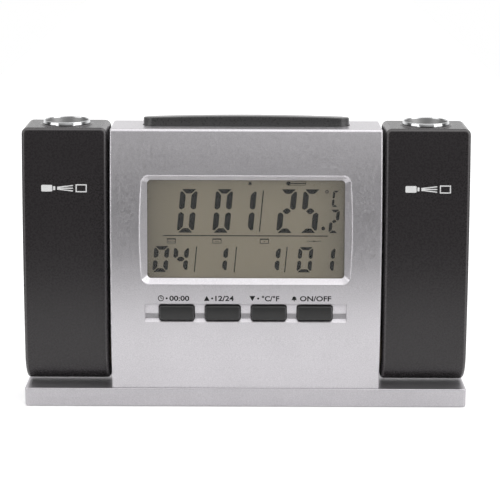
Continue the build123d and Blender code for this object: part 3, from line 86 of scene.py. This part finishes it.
# ---- Materials -----------------------------------------------------------
NOISE_LOW, NOISE_HIGH = 0.3, 0.7      # the part of a noise's range that shows
CLOUD_LOW, CLOUD_HIGH = 0.35, 0.65    # the same for the broad unevenness
CLOUD_MM = 14
BUMP_STRENGTH = 0.6
ROUGH_GRAIN = 2.3                     # patches of roughness are this many grains wide
CLOUD_DIM = 0.97
SIDE_FROM, SIDE_FULL = 0.93, 0.995    # sideways part of the normal, on a side face
# Painted glints on the charcoal's rounded edges: the share of the band at full lightness, and the lighter
# colour
GLINT_CORE = 0.3
GLINT_CHARCOAL = (0.085, 0.080, 0.082)
# Focus ring cup: satin roughness, and a grey colour that is painted shade in the plating
CUP_RADIUS = 8.2 * MM
CUP_EDGE = 0.1 * MM
CUP_ROUGH = 0.5
CUP_SHADE_GREY = (0.30, 0.30, 0.30)


class Paint:
    """A Principled material whose colour, roughness and bump come from noise."""

    def __init__(self, name, rough, **fixed):
        self.material = bpy.data.materials.new(name)
        self.material.use_nodes = True
        self.tree = self.material.node_tree
        self.shader = self.tree.nodes["Principled BSDF"]
        self.coords = self.tree.nodes.new("ShaderNodeTexCoord").outputs["Object"]
        self.shader.inputs["Roughness"].default_value = rough
        for socket, value in fixed.items():
            self.shader.inputs[socket.replace("_", " ")].default_value = value

    def add(self, kind, inputs=None, **settings):
        node = self.tree.nodes.new("ShaderNode" + kind)
        for key, value in settings.items():
            setattr(node, key, value)
        for key, value in (inputs or {}).items():
            if hasattr(value, "links"):
                self.tree.links.new(value, node.inputs[key])
            else:
                node.inputs[key].default_value = value
        return node

    def noise(self, size_mm, detail=2.0):
        """Noise in 0 to 1 whose features are about size_mm across."""
        inputs = {"Vector": self.coords, "Scale": 1 / (size_mm * MM), "Detail": detail}
        return self.add("TexNoise", inputs).outputs["Fac"]

    def ramp(self, value, low, high, to_low, to_high):
        inputs = {
            "Value": value,
            "From Min": low,
            "From Max": high,
            "To Min": to_low,
            "To Max": to_high,
        }
        return self.add("MapRange", inputs).outputs[0]

    def spread(self, noise, to_low, to_high):
        """The middle of a noise's range stretched over to_low to to_high."""
        return self.ramp(noise, NOISE_LOW, NOISE_HIGH, to_low, to_high)

    def math(self, operation, *values):
        return self.add("Math", dict(enumerate(values)), operation=operation).outputs[0]

    def coordinate(self, kind, axis):
        """One coordinate of the piece's place or of its surface's direction."""
        source = self.add("TexCoord").outputs[kind]
        return self.add("SeparateXYZ", {"Vector": source}).outputs[axis]

    def so_far(self, socket):
        """What already feeds a socket of the shader."""
        return self.shader.inputs[socket].links[0].from_socket

    def blend(self, socket, share, value):
        """Moves a driven number on the shader towards value by share."""
        node = self.add("Mix", {0: share, 2: self.so_far(socket), 3: value}, data_type="FLOAT")
        self.drive(socket, node.outputs[0])

    def mix(self, factor, first, second, how="MIX"):
        """Mixes two colours, each a socket or three numbers."""
        node = self.add("Mix", data_type="RGBA", blend_type=how)
        for socket, value in ((node.inputs[0], factor), (node.inputs[6], first), (node.inputs[7], second)):
            if hasattr(value, "links"):
                self.tree.links.new(value, socket)
            elif isinstance(value, (int, float)):
                socket.default_value = value
            else:
                socket.default_value = (*value, 1)
        return node.outputs[2]

    def drive(self, socket, value):
        self.tree.links.new(value, self.shader.inputs[socket])

    def bump(self, height, depth_mm):
        inputs = {"Height": height, "Distance": depth_mm * MM, "Strength": BUMP_STRENGTH}
        self.drive("Normal", self.add("Bump", inputs).outputs[0])


def grey(value, warm=0.0):
    """A near-neutral linear colour; warm above 0 leans it to yellow, below to blue."""
    return (value * (1 + warm), value, value * (1 - warm))


def speckled(name, colour, spread, grain_mm, rough, rough_spread, bump_mm, **fixed):
    """Moulded or painted surface: fine grain, broad unevenness and a slight bump."""
    paint = Paint(name, rough, **fixed)
    dark = tuple(c * (1 - spread) for c in colour)
    light = tuple(min(c * (1 + spread), 1) for c in colour)
    grain = paint.noise(grain_mm, 3)
    cloud = paint.ramp(paint.noise(CLOUD_MM), CLOUD_LOW, CLOUD_HIGH, 0, 1)
    tone = paint.mix(paint.spread(grain, 0, 1), dark, light)
    shade = paint.mix(cloud, (CLOUD_DIM, CLOUD_DIM, CLOUD_DIM), (1, 1, 1))
    paint.drive("Base Color", paint.mix(1, tone, shade, "MULTIPLY"))
    patches = paint.noise(grain_mm * ROUGH_GRAIN)
    paint.drive("Roughness", paint.spread(patches, rough - rough_spread, rough + rough_spread))
    paint.bump(grain, bump_mm)
    return paint


def matt_sides(paint, side_rough):
    """The upright side faces have a duller finish than the front."""
    sideways = paint.math("ABSOLUTE", paint.coordinate("Normal", 0))
    paint.blend("Roughness", paint.ramp(sideways, SIDE_FROM, SIDE_FULL, 0, 1), side_rough)


def painted_edge_glints(paint, slope, low, high):
    """Painted highlight: rounded edges, where the slope lies from low to high, get a lighter colour than
    the faces, standing in for glints.
    """
    middle, reach = (low + high) / 2, (high - low) / 2
    off = paint.math("ABSOLUTE", paint.math("SUBTRACT", slope, middle))
    share = paint.ramp(off, reach, reach * GLINT_CORE, 0, 1)
    paint.drive("Base Color", paint.mix(share, paint.so_far("Base Color"), GLINT_CHARCOAL))


def satin_shaded_cup(paint, axis_x, axis_y, radius):
    """The cup inside each focus ring gets a satin finish and a darker grey colour, the grey being painted
    shade; outside it the plating is bright.
    """
    side = paint.math("ABSOLUTE", paint.coordinate("Object", 0))
    across = paint.math("SUBTRACT", side, axis_x)
    along = paint.math("SUBTRACT", paint.coordinate("Object", 1), axis_y)
    flat = paint.add("CombineXYZ", {"X": across, "Y": along}).outputs[0]
    reach = paint.add("VectorMath", {0: flat}, operation="LENGTH").outputs["Value"]
    inside = paint.ramp(reach, radius, radius - CUP_EDGE, 0, 1)
    paint.blend("Roughness", inside, CUP_ROUGH)
    paint.drive("Base Color", paint.mix(inside, paint.so_far("Base Color"), CUP_SHADE_GREY))


def painted_end_shade(paint, start, end, level):
    """Painted shade: the polariser's colour darkens towards the left and right ends of the glass, where it
    gets less light.
    """
    side = paint.math("ABSOLUTE", paint.coordinate("Object", 0))
    share = paint.ramp(side, start, end, 0, 1)
    shade = (level, level, level)
    paint.drive("Base Color", paint.mix(share, paint.so_far("Base Color"), shade, "MULTIPLY"))


# Painted shade: the base plate's silver is the body's silver made darker.
shaded_silver_base = speckled("shaded_silver_base", (0.580, 0.563, 0.588), 0.10, 0.35, 0.36, 0.05, 0.006, Metallic=0.9)
silver = speckled("silver_paint", (0.655, 0.636, 0.662), 0.10, 0.35, 0.36, 0.05, 0.006, Metallic=0.9)
charcoal = speckled("charcoal_paint", (0.0225, 0.0200, 0.0212), 0.22, 0.3, 0.28, 0.05, 0.006)
matt_sides(silver, 0.7)
matt_sides(charcoal, 0.85)
# Painted highlight on the arms' upright and top rounded edges
painted_edge_glints(charcoal, charcoal.math("ABSOLUTE", charcoal.coordinate("Normal", 0)), 0.06, 0.80)
painted_edge_glints(charcoal, charcoal.coordinate("Normal", 2), 0.25, 0.90)
bar_black = speckled("bar_plastic", grey(0.050), 0.15, 0.25, 0.30, 0.05, 0.005, Specular_IOR_Level=0.8)
key_black = speckled("key_plastic", grey(0.018), 0.15, 0.25, 0.38, 0.05, 0.006)
inner_black = speckled("inner_plastic", grey(0.02), 0.2, 0.4, 0.55, 0.06, 0.012)
white_plastic = speckled("light_guide_plastic", grey(0.80, 0.01), 0.03, 0.5, 0.4, 0.05, 0.004)
rubber = speckled("foot_rubber", grey(0.03), 0.2, 0.3, 0.8, 0.08, 0.02)
fibre = speckled("washer_fibre", (0.10, 0.075, 0.05), 0.3, 0.25, 0.85, 0.06, 0.02)
board = speckled("board_mask", (0.02, 0.14, 0.05), 0.15, 0.8, 0.4, 0.05, 0.006)
ribbon = speckled("ribbon_film", (0.45, 0.25, 0.07), 0.1, 0.6, 0.35, 0.05, 0.003)
steel = speckled("plated_steel", grey(0.62), 0.05, 0.2, 0.3, 0.08, 0.003, Metallic=1.0)
zinc = speckled("zinc_screws", grey(0.55, 0.02), 0.07, 0.15, 0.36, 0.08, 0.004, Metallic=1.0)
chrome = speckled("chrome_plate", grey(0.62, -0.01), 0.02, 0.5, 0.12, 0.03, 0.001, Metallic=1.0)
ring_low, ring_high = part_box("left_focus_ring")
ring_middle = (ring_low + ring_high) / 2
satin_shaded_cup(chrome, abs(ring_middle.x), ring_middle.y, CUP_RADIUS)
cell_can = speckled("cell_can", (0.45, 0.46, 0.5), 0.05, 0.4, 0.3, 0.06, 0.004, Metallic=0.8)
lcd_grey = speckled("lcd_polariser", (0.162, 0.138, 0.098), 0.03, 0.6, 0.42, 0.04, 0.0)
# Painted shade towards the ends of the display
painted_end_shade(lcd_grey, 22 * MM, 37.4 * MM, 0.68)
lcd_ink = speckled("lcd_segments", grey(0.006, 0.05), 0.08, 0.3, 0.7, 0.05, 0.0, Specular_IOR_Level=0.05)
print_dark = speckled("print_dark", grey(0.008), 0.15, 0.2, 0.6, 0.05, 0.002, Specular_IOR_Level=0.2)
print_white = speckled("print_white", grey(0.72), 0.05, 0.2, 0.5, 0.05, 0.002)


def clear(name, rough, ior):
    """Clear plastic or glass that lets lamp light through to what lies behind it."""
    paint = Paint(name, rough, Transmission_Weight=1.0, IOR=ior)
    paint.drive("Base Color", paint.mix(paint.noise(9), (0.97, 0.98, 0.97), (1, 1, 1)))
    paint.drive("Roughness", paint.spread(paint.noise(3), rough, rough + 0.015))
    output = paint.tree.nodes["Material Output"]
    path = paint.add("LightPath")
    through = paint.add("BsdfTransparent", {"Color": (0.94, 0.95, 0.94, 1)})
    swap = paint.add("MixShader")
    paint.tree.links.new(path.outputs["Is Shadow Ray"], swap.inputs[0])
    paint.tree.links.new(paint.shader.outputs[0], swap.inputs[1])
    paint.tree.links.new(through.outputs[0], swap.inputs[2])
    paint.tree.links.new(swap.outputs[0], output.inputs[0])
    return paint


window_clear = clear("window_acrylic", 0.02, 1.45)
lens_clear = clear("lens_acrylic", 0.01, 1.49)

BY_SLOT = {
    "silver_body": silver,
    "charcoal_arm": charcoal,
    "black_bar": bar_black,
    "black_key": key_black,
    "black_plastic": inner_black,
    "white_plastic": white_plastic,
    "chrome_ring": chrome,
    "clear_window": window_clear,
    "lens_glass": lens_clear,
    "lcd_glass": lcd_grey,
    "board_green": board,
    "ribbon_film": ribbon,
    "spring_steel": steel,
    "screw_steel": zinc,
    "cell_wrap": cell_can,
    "rubber_foot": rubber,
    "fibre_washer": fibre,
}


def paint_of(part):
    """The base plate gets a darker copy of the body's silver, which is painted shade."""
    return shaded_silver_base if part["node"] == "base_plate" else BY_SLOT[part["material_slot"]]


for part in frame["record"]["subparts"]:
    mesh = nodes[part["node"]].data
    for index in range(max(len(mesh.materials), 1)):
        if index < len(mesh.materials):
            mesh.materials[index] = paint_of(part).material
        else:
            mesh.materials.append(paint_of(part).material)

# ---- Display plane and front faces, as in the part (mm) --------------------
FRONT_RADIUS = 270.0
NOSE_Y = BASE_FRONT / MM - 1.0
NOSE_Z = DECK / MM + 30.0
POD_RADIUS = 565.0
POD_NOSE_Y = BASE_FRONT / MM + 2.0
POD_NOSE_Z = DECK / MM + 12.7
BEZEL_Z = DECK / MM + 62.0
LCD_DEPTH = 3.9              # of the LCD's face behind the front


def bowed(radius, nose_y, nose_z, z):
    """Depth of a front face that bows forward most at nose_z."""
    return nose_y + radius - math.sqrt(radius**2 - (z - nose_z) ** 2)


def on_bow(radius, nose_y, nose_z):
    """Takes x and height above the base plate, and a rise off the bowed face, in mm."""

    def place(x, up, rise):
        z = up + DECK / MM
        lean = math.asin((z - nose_z) / radius)
        y = bowed(radius, nose_y, nose_z, z)
        return Vector((x, y - rise * math.cos(lean), z + rise * math.sin(lean))) * MM

    return place


on_front = on_bow(FRONT_RADIUS, NOSE_Y, NOSE_Z)
on_arm = on_bow(POD_RADIUS, POD_NOSE_Y, POD_NOSE_Z)
LEAN = math.asin((BEZEL_Z - NOSE_Z) / FRONT_RADIUS)


def on_display(x, up, rise):
    """Takes x and height from the display's middle, and a rise off the LCD's face."""
    depth = LCD_DEPTH - rise
    y = bowed(FRONT_RADIUS, NOSE_Y, NOSE_Z, BEZEL_Z)
    return Vector(
        (
            x,
            y + depth * math.cos(LEAN) + up * math.sin(LEAN),
            BEZEL_Z - depth * math.sin(LEAN) + up * math.cos(LEAN),
        )
    ) * MM


# ---- Printed and lit marks, laid out in mm ---------------------------------
def piece(name, mesh, body, paint):
    obj = bpy.data.objects.new(name, mesh)
    bpy.context.scene.collection.objects.link(obj)
    mesh.materials.append(paint.material)
    for face in mesh.polygons:
        face.use_smooth = False
    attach(obj, body)


def rounded(points, radius):
    """The polygon with each corner cut back by radius and eased with one more point."""
    longest_cut = 0.45
    out = []
    count = len(points)
    for i, (x, y) in enumerate(points):
        corner = Vector((x, y))
        for other in (points[i - 1], points[(i + 1) % count]):
            way = Vector(other) - corner
            reach = min(radius, way.length * longest_cut)
            out.append(corner + way.normalized() * reach)
        before, after = out[-2], out[-1]
        out.insert(-1, (before + after) / 4 + corner / 2)
    return [tuple(p) for p in out]


def circle(x, y, radius, steps=20):
    turns = [2 * math.pi * i / steps for i in range(steps)]
    return [(x + radius * math.cos(t), y + radius * math.sin(t)) for t in turns]


def stroke(points, width):
    """Quads along a polyline of that width; they overlap where it turns."""
    overlap = 0.9
    out = []
    for (x0, y0), (x1, y1) in zip(points, points[1:]):
        way = Vector((x1 - x0, y1 - y0)).normalized() * width / 2
        side = Vector((-way.y, way.x))
        a, b = Vector((x0, y0)) - way * overlap, Vector((x1, y1)) + way * overlap
        out.append([tuple(a - side), tuple(b - side), tuple(b + side), tuple(a + side)])
    return out


def box_shape(x0, y0, x1, y1):
    return [(x0, y0), (x1, y0), (x1, y1), (x0, y1)]


def raised(name, shapes, place, body, paint, low, high):
    """Each flat shape becomes a thin closed plate on the surface that place gives."""
    bm = bmesh.new()
    for shape in shapes:
        bottom = [bm.verts.new(place(x, y, low)) for x, y in shape]
        top = [bm.verts.new(place(x, y, high)) for x, y in shape]
        bm.faces.new(top)
        bm.faces.new(list(reversed(bottom)))
        count = len(shape)
        for i in range(count):
            j = (i + 1) % count
            bm.faces.new((bottom[i], bottom[j], top[j], top[i]))
    bmesh.ops.recalc_face_normals(bm, faces=bm.faces)
    mesh = bpy.data.meshes.new(name)
    bm.to_mesh(mesh)
    bm.free()
    piece(name, mesh, body, paint)


SLANT = 0.093                # sideways lean of the figures per mm of height
SEGMENT_CORNER = 0.16        # of the bar's width
SEGMENTS = {
    "0": "abcdef",
    "1": "bc",
    "2": "abged",
    "4": "fgbc",
    "5": "afgcd",
    "C": "afed",
}


def digit(symbol, x, y, width, height, bar):
    """Seven-segment figure, its lower left corner at x, y before the slant."""
    w, h, t, half = width, height, bar, height / 2
    left_upper = [
        (0, h - 0.5 * t),
        (0, half + 0.5 * t),
        (0.45 * t, half + 0.2 * t),
        (t, half + 0.6 * t),
        (t, h - 1.1 * t),
        (0.4 * t, h - 0.4 * t),
    ]
    left_lower = [(x, h - y) for x, y in left_upper]
    top = [(0.25 * t, h), (w - 0.25 * t, h), (w - 1.05 * t, h - 0.8 * t), (1.05 * t, h - 0.8 * t)]
    shapes = {
        "a": top,
        "d": [(px, h - py) for px, py in top],
        "f": left_upper,
        "e": left_lower,
        "b": [(w - px, py) for px, py in left_upper],
        "c": [(w - px, py) for px, py in left_lower],
        "g": [
            (0.75 * t, half),
            (1.3 * t, half + 0.5 * t),
            (w - 1.3 * t, half + 0.5 * t),
            (w - 0.75 * t, half),
            (w - 1.3 * t, half - 0.5 * t),
            (1.3 * t, half - 0.5 * t),
        ],
    }
    out = []
    for segment in SEGMENTS[symbol]:
        outline = rounded(shapes[segment], SEGMENT_CORNER * t)
        out.append([(x + px + SLANT * py, y + py) for px, py in outline])
    return out


def slanted(x, low, high, width):
    """Upright bar that leans with the figures; x is at its foot."""
    lean = SLANT * (high - low)
    return [(x, low), (x + width, low), (x + width + lean, high), (x + lean, high)]


BIG = {"width": 6.5, "height": 16.6, "bar": 2.15}
SMALL = {"width": 5.75, "height": 9.9, "bar": 1.75}
DAY = {"width": 5.6, "height": 9.7, "bar": 1.5}
TENTHS = {"width": 3.6, "height": 8.9, "bar": 1.25}
DEGREES = {"width": 2.3, "height": 6.1, "bar": 0.85}
TOP_ROW, LOW_ROW = -1.1, -16.15      # feet of the two rows of figures
display = []
for symbol, x in (("0", -26.3), ("0", -12.85), ("1", -3.9), ("2", 11.4), ("5", 20.3)):
    display += digit(symbol, x, TOP_ROW, **BIG)
display += digit("2", 31.2, TOP_ROW, **TENTHS)
display += digit("C", 32.4, 8.9, **DEGREES)
for symbol, x in (("0", -35.6), ("4", -28.1), ("1", -13.2), ("1", 6.7)):
    display += digit(symbol, x, LOW_ROW, **SMALL)
for symbol, x in (("0", 19.2), ("1", 27.6)):
    display += digit(symbol, x, LOW_ROW, **DAY)
# Dividing lines, decimal point and degree sign
display.append(slanted(4.9, -0.7, 15.0, 0.42))
for x in (-19.8, -4.65, 14.55):
    display.append(slanted(x, LOW_ROW, -6.4, 0.4))
display.append(box_shape(-31.5, -2.43, 31.0, -2.05))
display.append(circle(29.3, 0.65, 0.72))
display += stroke(circle(30.6, 14.6, 0.5, 12) + [(31.1, 14.6)], 0.28)


def bell(x, y, size):
    """Alarm bell, its middle at x, y."""
    s = size / 2
    dome_radius, dome_steps = s * 0.62, 10
    turns = [math.pi * i / dome_steps for i in range(dome_steps + 1)]
    dome = [(dome_radius * math.cos(t), dome_radius * math.sin(t)) for t in turns]
    outline = dome + [(-s * 0.72, -s * 0.45), (-s, -s * 0.62), (s, -s * 0.62), (s * 0.72, -s * 0.45)]
    return [[(x + px, y + py) for px, py in outline], circle(x, y - s * 0.84, s * 0.2, 10)]


def page(x, y, width, height, line):
    """Calendar page outline with a thick head."""
    x0, x1, y0, y1 = x - width / 2, x + width / 2, y - height / 2, y + height / 2
    return [
        box_shape(x0, y1 - 2 * line, x1, y1),
        box_shape(x0, y0, x1, y0 + line),
        box_shape(x0, y0, x0 + line, y1),
        box_shape(x1 - line, y0, x1, y1),
    ]


# Small signs over the lower row: year, month and day pages, and seven days
LABEL_Y = -4.25
for x, columns in ((-28.3, 4), (-11.0, 2), (7.0, 1)):
    display += page(x, LABEL_Y, 3.4, 1.9, 0.22)
    for i in range(columns):
        display.append(circle(x + (i - (columns - 1) / 2) * 0.7, LABEL_Y - 0.18, 0.2, 8))
for i in range(7):
    display.append(circle(23.4 + i * 0.8, LABEL_Y, 0.34 if i == 3 else 0.22, 10))
# Alarm bell and a lying thermometer along the top
SIGN_Y = 17.7
display += bell(1.5, SIGN_Y, 1.7)
display += stroke([(16.4, SIGN_Y), (22.4, SIGN_Y)], 0.34)
display.append(circle(16.0, SIGN_Y, 0.8))
tube_low, tube_high = SIGN_Y - 0.65, SIGN_Y + 0.65
display += stroke([(15.9, tube_high), (22.6, tube_high), (22.6, tube_low), (15.9, tube_low)], 0.16)
raised("display_segments", display, on_display, "clock", lcd_ink, 0.004, 0.045)


CAP_SHARE = 0.73             # height of a capital in a line of size 1


def words(text, size, weight):
    """Flat outlines of a line of plain lettering, its middle at 0, 0; size is the cap height."""
    curve = bpy.data.curves.new("line", "FONT")
    curve.body = text
    curve.offset = weight
    curve.resolution_u = 3
    holder = bpy.data.objects.new("line", curve)
    bpy.context.scene.collection.objects.link(holder)
    graph = bpy.context.evaluated_depsgraph_get()
    mesh = bpy.data.meshes.new_from_object(holder.evaluated_get(graph))
    bpy.data.objects.remove(holder)
    bpy.data.curves.remove(curve)
    points = [v.co.copy() for v in mesh.vertices]
    low_x, high_x = min(p.x for p in points), max(p.x for p in points)
    low_y, high_y = min(p.y for p in points), max(p.y for p in points)
    scale = size / CAP_SHARE
    middle = Vector(((low_x + high_x) / 2, (low_y + high_y) / 2, 0))
    shapes = [
        [tuple(((mesh.vertices[i].co - middle) * scale).xy) for i in face.vertices]
        for face in mesh.polygons
    ]
    bpy.data.meshes.remove(mesh)
    return shapes


def shifted(shapes, x, y, widen):
    return [[(px * widen + x, py + y) for px, py in shape] for shape in shapes]


CAPTION_UP = 36.1            # above the base plate
CAPTION_CAP = 2.0
BOLD = 0.024
CAPTION_LOW, CAPTION_HIGH = CAPTION_UP - CAPTION_CAP / 2, CAPTION_UP + CAPTION_CAP / 2
MARK_LOW, MARK_HIGH = -0.02, 0.015   # prints sit in and just proud of their surface


def caption(text, x, widen):
    return shifted(words(text, CAPTION_CAP, BOLD), x, CAPTION_UP, widen)


def caption_dot(x):
    return circle(x, CAPTION_UP, 0.4, 12)


def clock_sign(x, inner, outer, steps):
    """Clock dial with its two hands."""
    out = []
    for step in range(steps):
        a, b = 2 * math.pi * step / steps, 2 * math.pi * (step + 1) / steps
        corners = ((inner, a), (outer, a), (outer, b), (inner, b))
        out.append([(x + r * math.cos(t), CAPTION_UP + r * math.sin(t)) for r, t in corners])
    return out + stroke([(x, CAPTION_UP + 0.65), (x, CAPTION_UP), (x + 0.5, CAPTION_UP)], 0.26)


captions = clock_sign(-32.2, 0.85, 1.15, 24)
captions.append(caption_dot(-30.0))
captions += caption("00:00", -25.2, 1.25)
captions.append([(-15.9, CAPTION_LOW), (-13.7, CAPTION_LOW), (-14.8, CAPTION_HIGH)])
captions.append(caption_dot(-12.75))
captions += caption("12/24", -8.05, 1.22)
captions.append([(1.4, CAPTION_HIGH), (2.5, CAPTION_LOW), (3.6, CAPTION_HIGH)])
captions.append(caption_dot(4.7))
captions += caption("°C/°F", 9.4, 1.1)
captions += bell(18.4, CAPTION_UP + 0.15, 2.3)
captions += caption("ON/OFF", 26.5, 1.2)
raised("key_captions", captions, on_front, "clock", print_dark, MARK_LOW, MARK_HIGH)

# Projector, rays and screen on each arm
SIGN_X, SIGN_UP = 68.8, 77.2
SIGN_LINE = 0.42


def arm_sign(x, up):
    out = [rounded(box_shape(x - 8.6, up - 1.25, x - 4.4, up + 1.25), 0.4)]
    out.append(rounded(box_shape(x - 4.1, up - 0.75, x - 3.3, up + 0.75), 0.2))
    for rise in (-1.0, 0, 1.0):
        out += stroke([(x - 2.4, up + rise * 0.35), (x + 3.2, up + rise)], SIGN_LINE)
    screen = box_shape(x + 4.6, up - 1.3, x + 8.4, up + 1.3)
    return out + stroke(screen, SIGN_LINE) + stroke([screen[-1], screen[0]], SIGN_LINE)


for side, name in ((-1, "left"), (1, "right")):
    sign = arm_sign(side * SIGN_X, SIGN_UP)
    low, high = MARK_LOW, MARK_HIGH
    raised(f"{name}_arm_sign", sign, on_arm, f"{name}_arm", print_white, low, high)

# ---- Stage ---------------------------------------------------------------
FLOOR_GREY = 0.86
FLOOR_PATCH_MM = 60
FLOOR_LIFT = 0.28            # added where the camera looks at the sheet
MIRROR_LIFT = 0.04           # added where metal or glass mirrors it
SKY_WHITE = 1.0
SHEET_FRONT = -0.30          # the white sheet ends here, ahead of the clock
SHEET_BACK = 4.0
SHEET_HALF = 0.24


def add_sheet():
    """The white sheet that the clock stands on."""
    corners = [(x, y, 0) for x, y in box_shape(-SHEET_HALF, SHEET_FRONT, SHEET_HALF, SHEET_BACK)]
    mesh = bpy.data.meshes.new("sheet")
    mesh.from_pydata(corners, [], [(0, 1, 2, 3)])
    obj = bpy.data.objects.new("sheet", mesh)
    bpy.context.scene.collection.objects.link(obj)
    paint = Paint("sheet_paper", 0.8, Specular_IOR_Level=0.1)
    patches = paint.noise(FLOOR_PATCH_MM)
    paint.drive("Base Color", paint.mix(patches, grey(FLOOR_GREY * 0.99), grey(FLOOR_GREY)))
    path = paint.add("LightPath").outputs
    seen = paint.math("MAXIMUM", path["Is Camera Ray"], path["Is Transmission Ray"])
    lift = paint.math("MULTIPLY", seen, FLOOR_LIFT)
    mirrored = paint.math("MULTIPLY", path["Is Glossy Ray"], MIRROR_LIFT)
    paint.drive("Emission Strength", paint.math("ADD", lift, mirrored))
    paint.shader.inputs["Emission Color"].default_value = (1, 1, 1, 1)
    mesh.materials.append(paint.material)


add_sheet()


# Height of a direction (sine of its elevation) and how bright it is, ahead and behind
FRONT_SKY = [
    (0.0, 0.04),
    (0.14, 0.06),
    (0.25, 0.16),
    (0.37, 0.42),
    (0.6, 0.95),
    (0.75, 1.5),
    (0.97, 1.6),
    (1.0, 1.5),
]
BACK_SKY = [(0.0, 1.2), (0.2, 1.18), (0.35, 0.8), (0.6, 0.65), (0.85, 1.0), (1.0, 1.5)]
SKY_TURN = (0.2, 0.7)        # depth of the directions where the front goes over to the back
SKY_ASIDE = {"From_Min": -0.3, "From_Max": 0.3, "To_Min": 0.8, "To_Max": 1.25}

# The bright table either side of the clock, seen in its rounded upright edges:
# sideways, downward and forward reach of the directions, from, to and softness
TABLE_WIDE = (0.60, 0.72, 0.06)
TABLE_LOW = (-0.45, 0.02, 0.08)
TABLE_AHEAD = (-1.0, -0.3, 0.2)
TABLE_GLOW = 1.9


def add_world():
    """Pale studio behind and above, dim low in front of the clock, white where the camera looks."""
    world = bpy.data.worlds.new("studio")
    bpy.context.scene.world = world
    world.use_nodes = True
    tree = world.node_tree
    tree.nodes.clear()

    def fill(socket, value):
        if hasattr(value, "links"):
            tree.links.new(value, socket)
        else:
            socket.default_value = value

    def node(kind, **inputs):
        made = tree.nodes.new("ShaderNode" + kind)
        for key, value in inputs.items():
            fill(made.inputs[key.replace("_", " ")], value)
        return made

    def joined(kind, *values, **settings):
        made = tree.nodes.new("ShaderNode" + kind)
        for key, value in settings.items():
            setattr(made, key, value)
        for socket, value in zip(made.inputs, values):
            fill(socket, value)
        return made.outputs[0]

    def product(first, second):
        return joined("Math", first, second, operation="MULTIPLY")

    def sky_ramp(value, stops):
        made = node("ValToRGB", Fac=value)
        elements = made.color_ramp.elements
        while len(elements) < len(stops):
            elements.new(0.5)
        for element, (at, level) in zip(elements, stops):
            element.position = at
            element.color = (level, level, level, 1)
        return made.outputs[0]

    def between(value, low, high, soft):
        """1 where the value lies from low to high, falling to 0 over soft on either side."""
        up = node("MapRange", Value=value, From_Min=low - soft, From_Max=low).outputs[0]
        down = node("MapRange", Value=value, From_Min=high + soft, From_Max=high).outputs[0]
        return product(up, down)

    way = node("TexCoord").outputs["Generated"]
    aside, depth, height = node("SeparateXYZ", Vector=way).outputs
    front = tree.nodes.new("ShaderNodeVectorMath")
    front.operation = "SCALE"
    fill(front.inputs[0], sky_ramp(height, FRONT_SKY))
    fill(front.inputs["Scale"], node("MapRange", Value=aside, **SKY_ASIDE).outputs[0])
    turn = node("MapRange", Value=depth, From_Min=SKY_TURN[0], From_Max=SKY_TURN[1]).outputs[0]
    mixed = tree.nodes.new("ShaderNodeMix")
    mixed.data_type = "RGBA"
    fill(mixed.inputs[0], turn)
    fill(mixed.inputs[6], front.outputs[0])
    fill(mixed.inputs[7], sky_ramp(height, BACK_SKY))
    wide = between(joined("Math", aside, operation="ABSOLUTE"), *TABLE_WIDE)
    glow = product(product(wide, between(height, *TABLE_LOW)), between(depth, *TABLE_AHEAD))

    sky = node("Background", Color=mixed.outputs[2], Strength=1.0)
    table = node("Background", Color=(1, 1, 1, 1), Strength=product(glow, TABLE_GLOW))
    studio = joined("AddShader", sky.outputs[0], table.outputs[0])
    plain = node("Background", Color=(SKY_WHITE, SKY_WHITE, SKY_WHITE, 1), Strength=1.0)
    path = node("LightPath").outputs
    seen = joined("Math", path["Is Camera Ray"], path["Is Transmission Ray"], operation="MAXIMUM")
    out = tree.nodes.new("ShaderNodeOutputWorld")
    fill(out.inputs[0], joined("MixShader", seen, studio, plain.outputs[0]))


# Soft boxes left and right of the camera, aimed at the clock's middle
MIDDLE = Vector((0, 0, 0.055))
BOX_PLACE = Vector((1.35, -0.75, 0.60))
BOX_WIDTH, BOX_HEIGHT = 1.2, 0.8
LEFT_WATTS, RIGHT_WATTS = 5.4, 7.6


def soft_box(name, side, watts):
    data = bpy.data.lights.new(name, "AREA")
    data.shape = "RECTANGLE"
    data.size, data.size_y = BOX_WIDTH, BOX_HEIGHT
    data.energy = watts
    obj = bpy.data.objects.new(name, data)
    bpy.context.scene.collection.objects.link(obj)
    place = Vector((side * BOX_PLACE.x, BOX_PLACE.y, BOX_PLACE.z))
    obj.location = place
    obj.rotation_euler = (MIDDLE - place).to_track_quat("-Z", "Y").to_euler()


add_camera()
add_world()
soft_box("left_box", -1, LEFT_WATTS)
soft_box("right_box", 1, RIGHT_WATTS)
bpy.context.scene.view_settings.view_transform = "Standard"
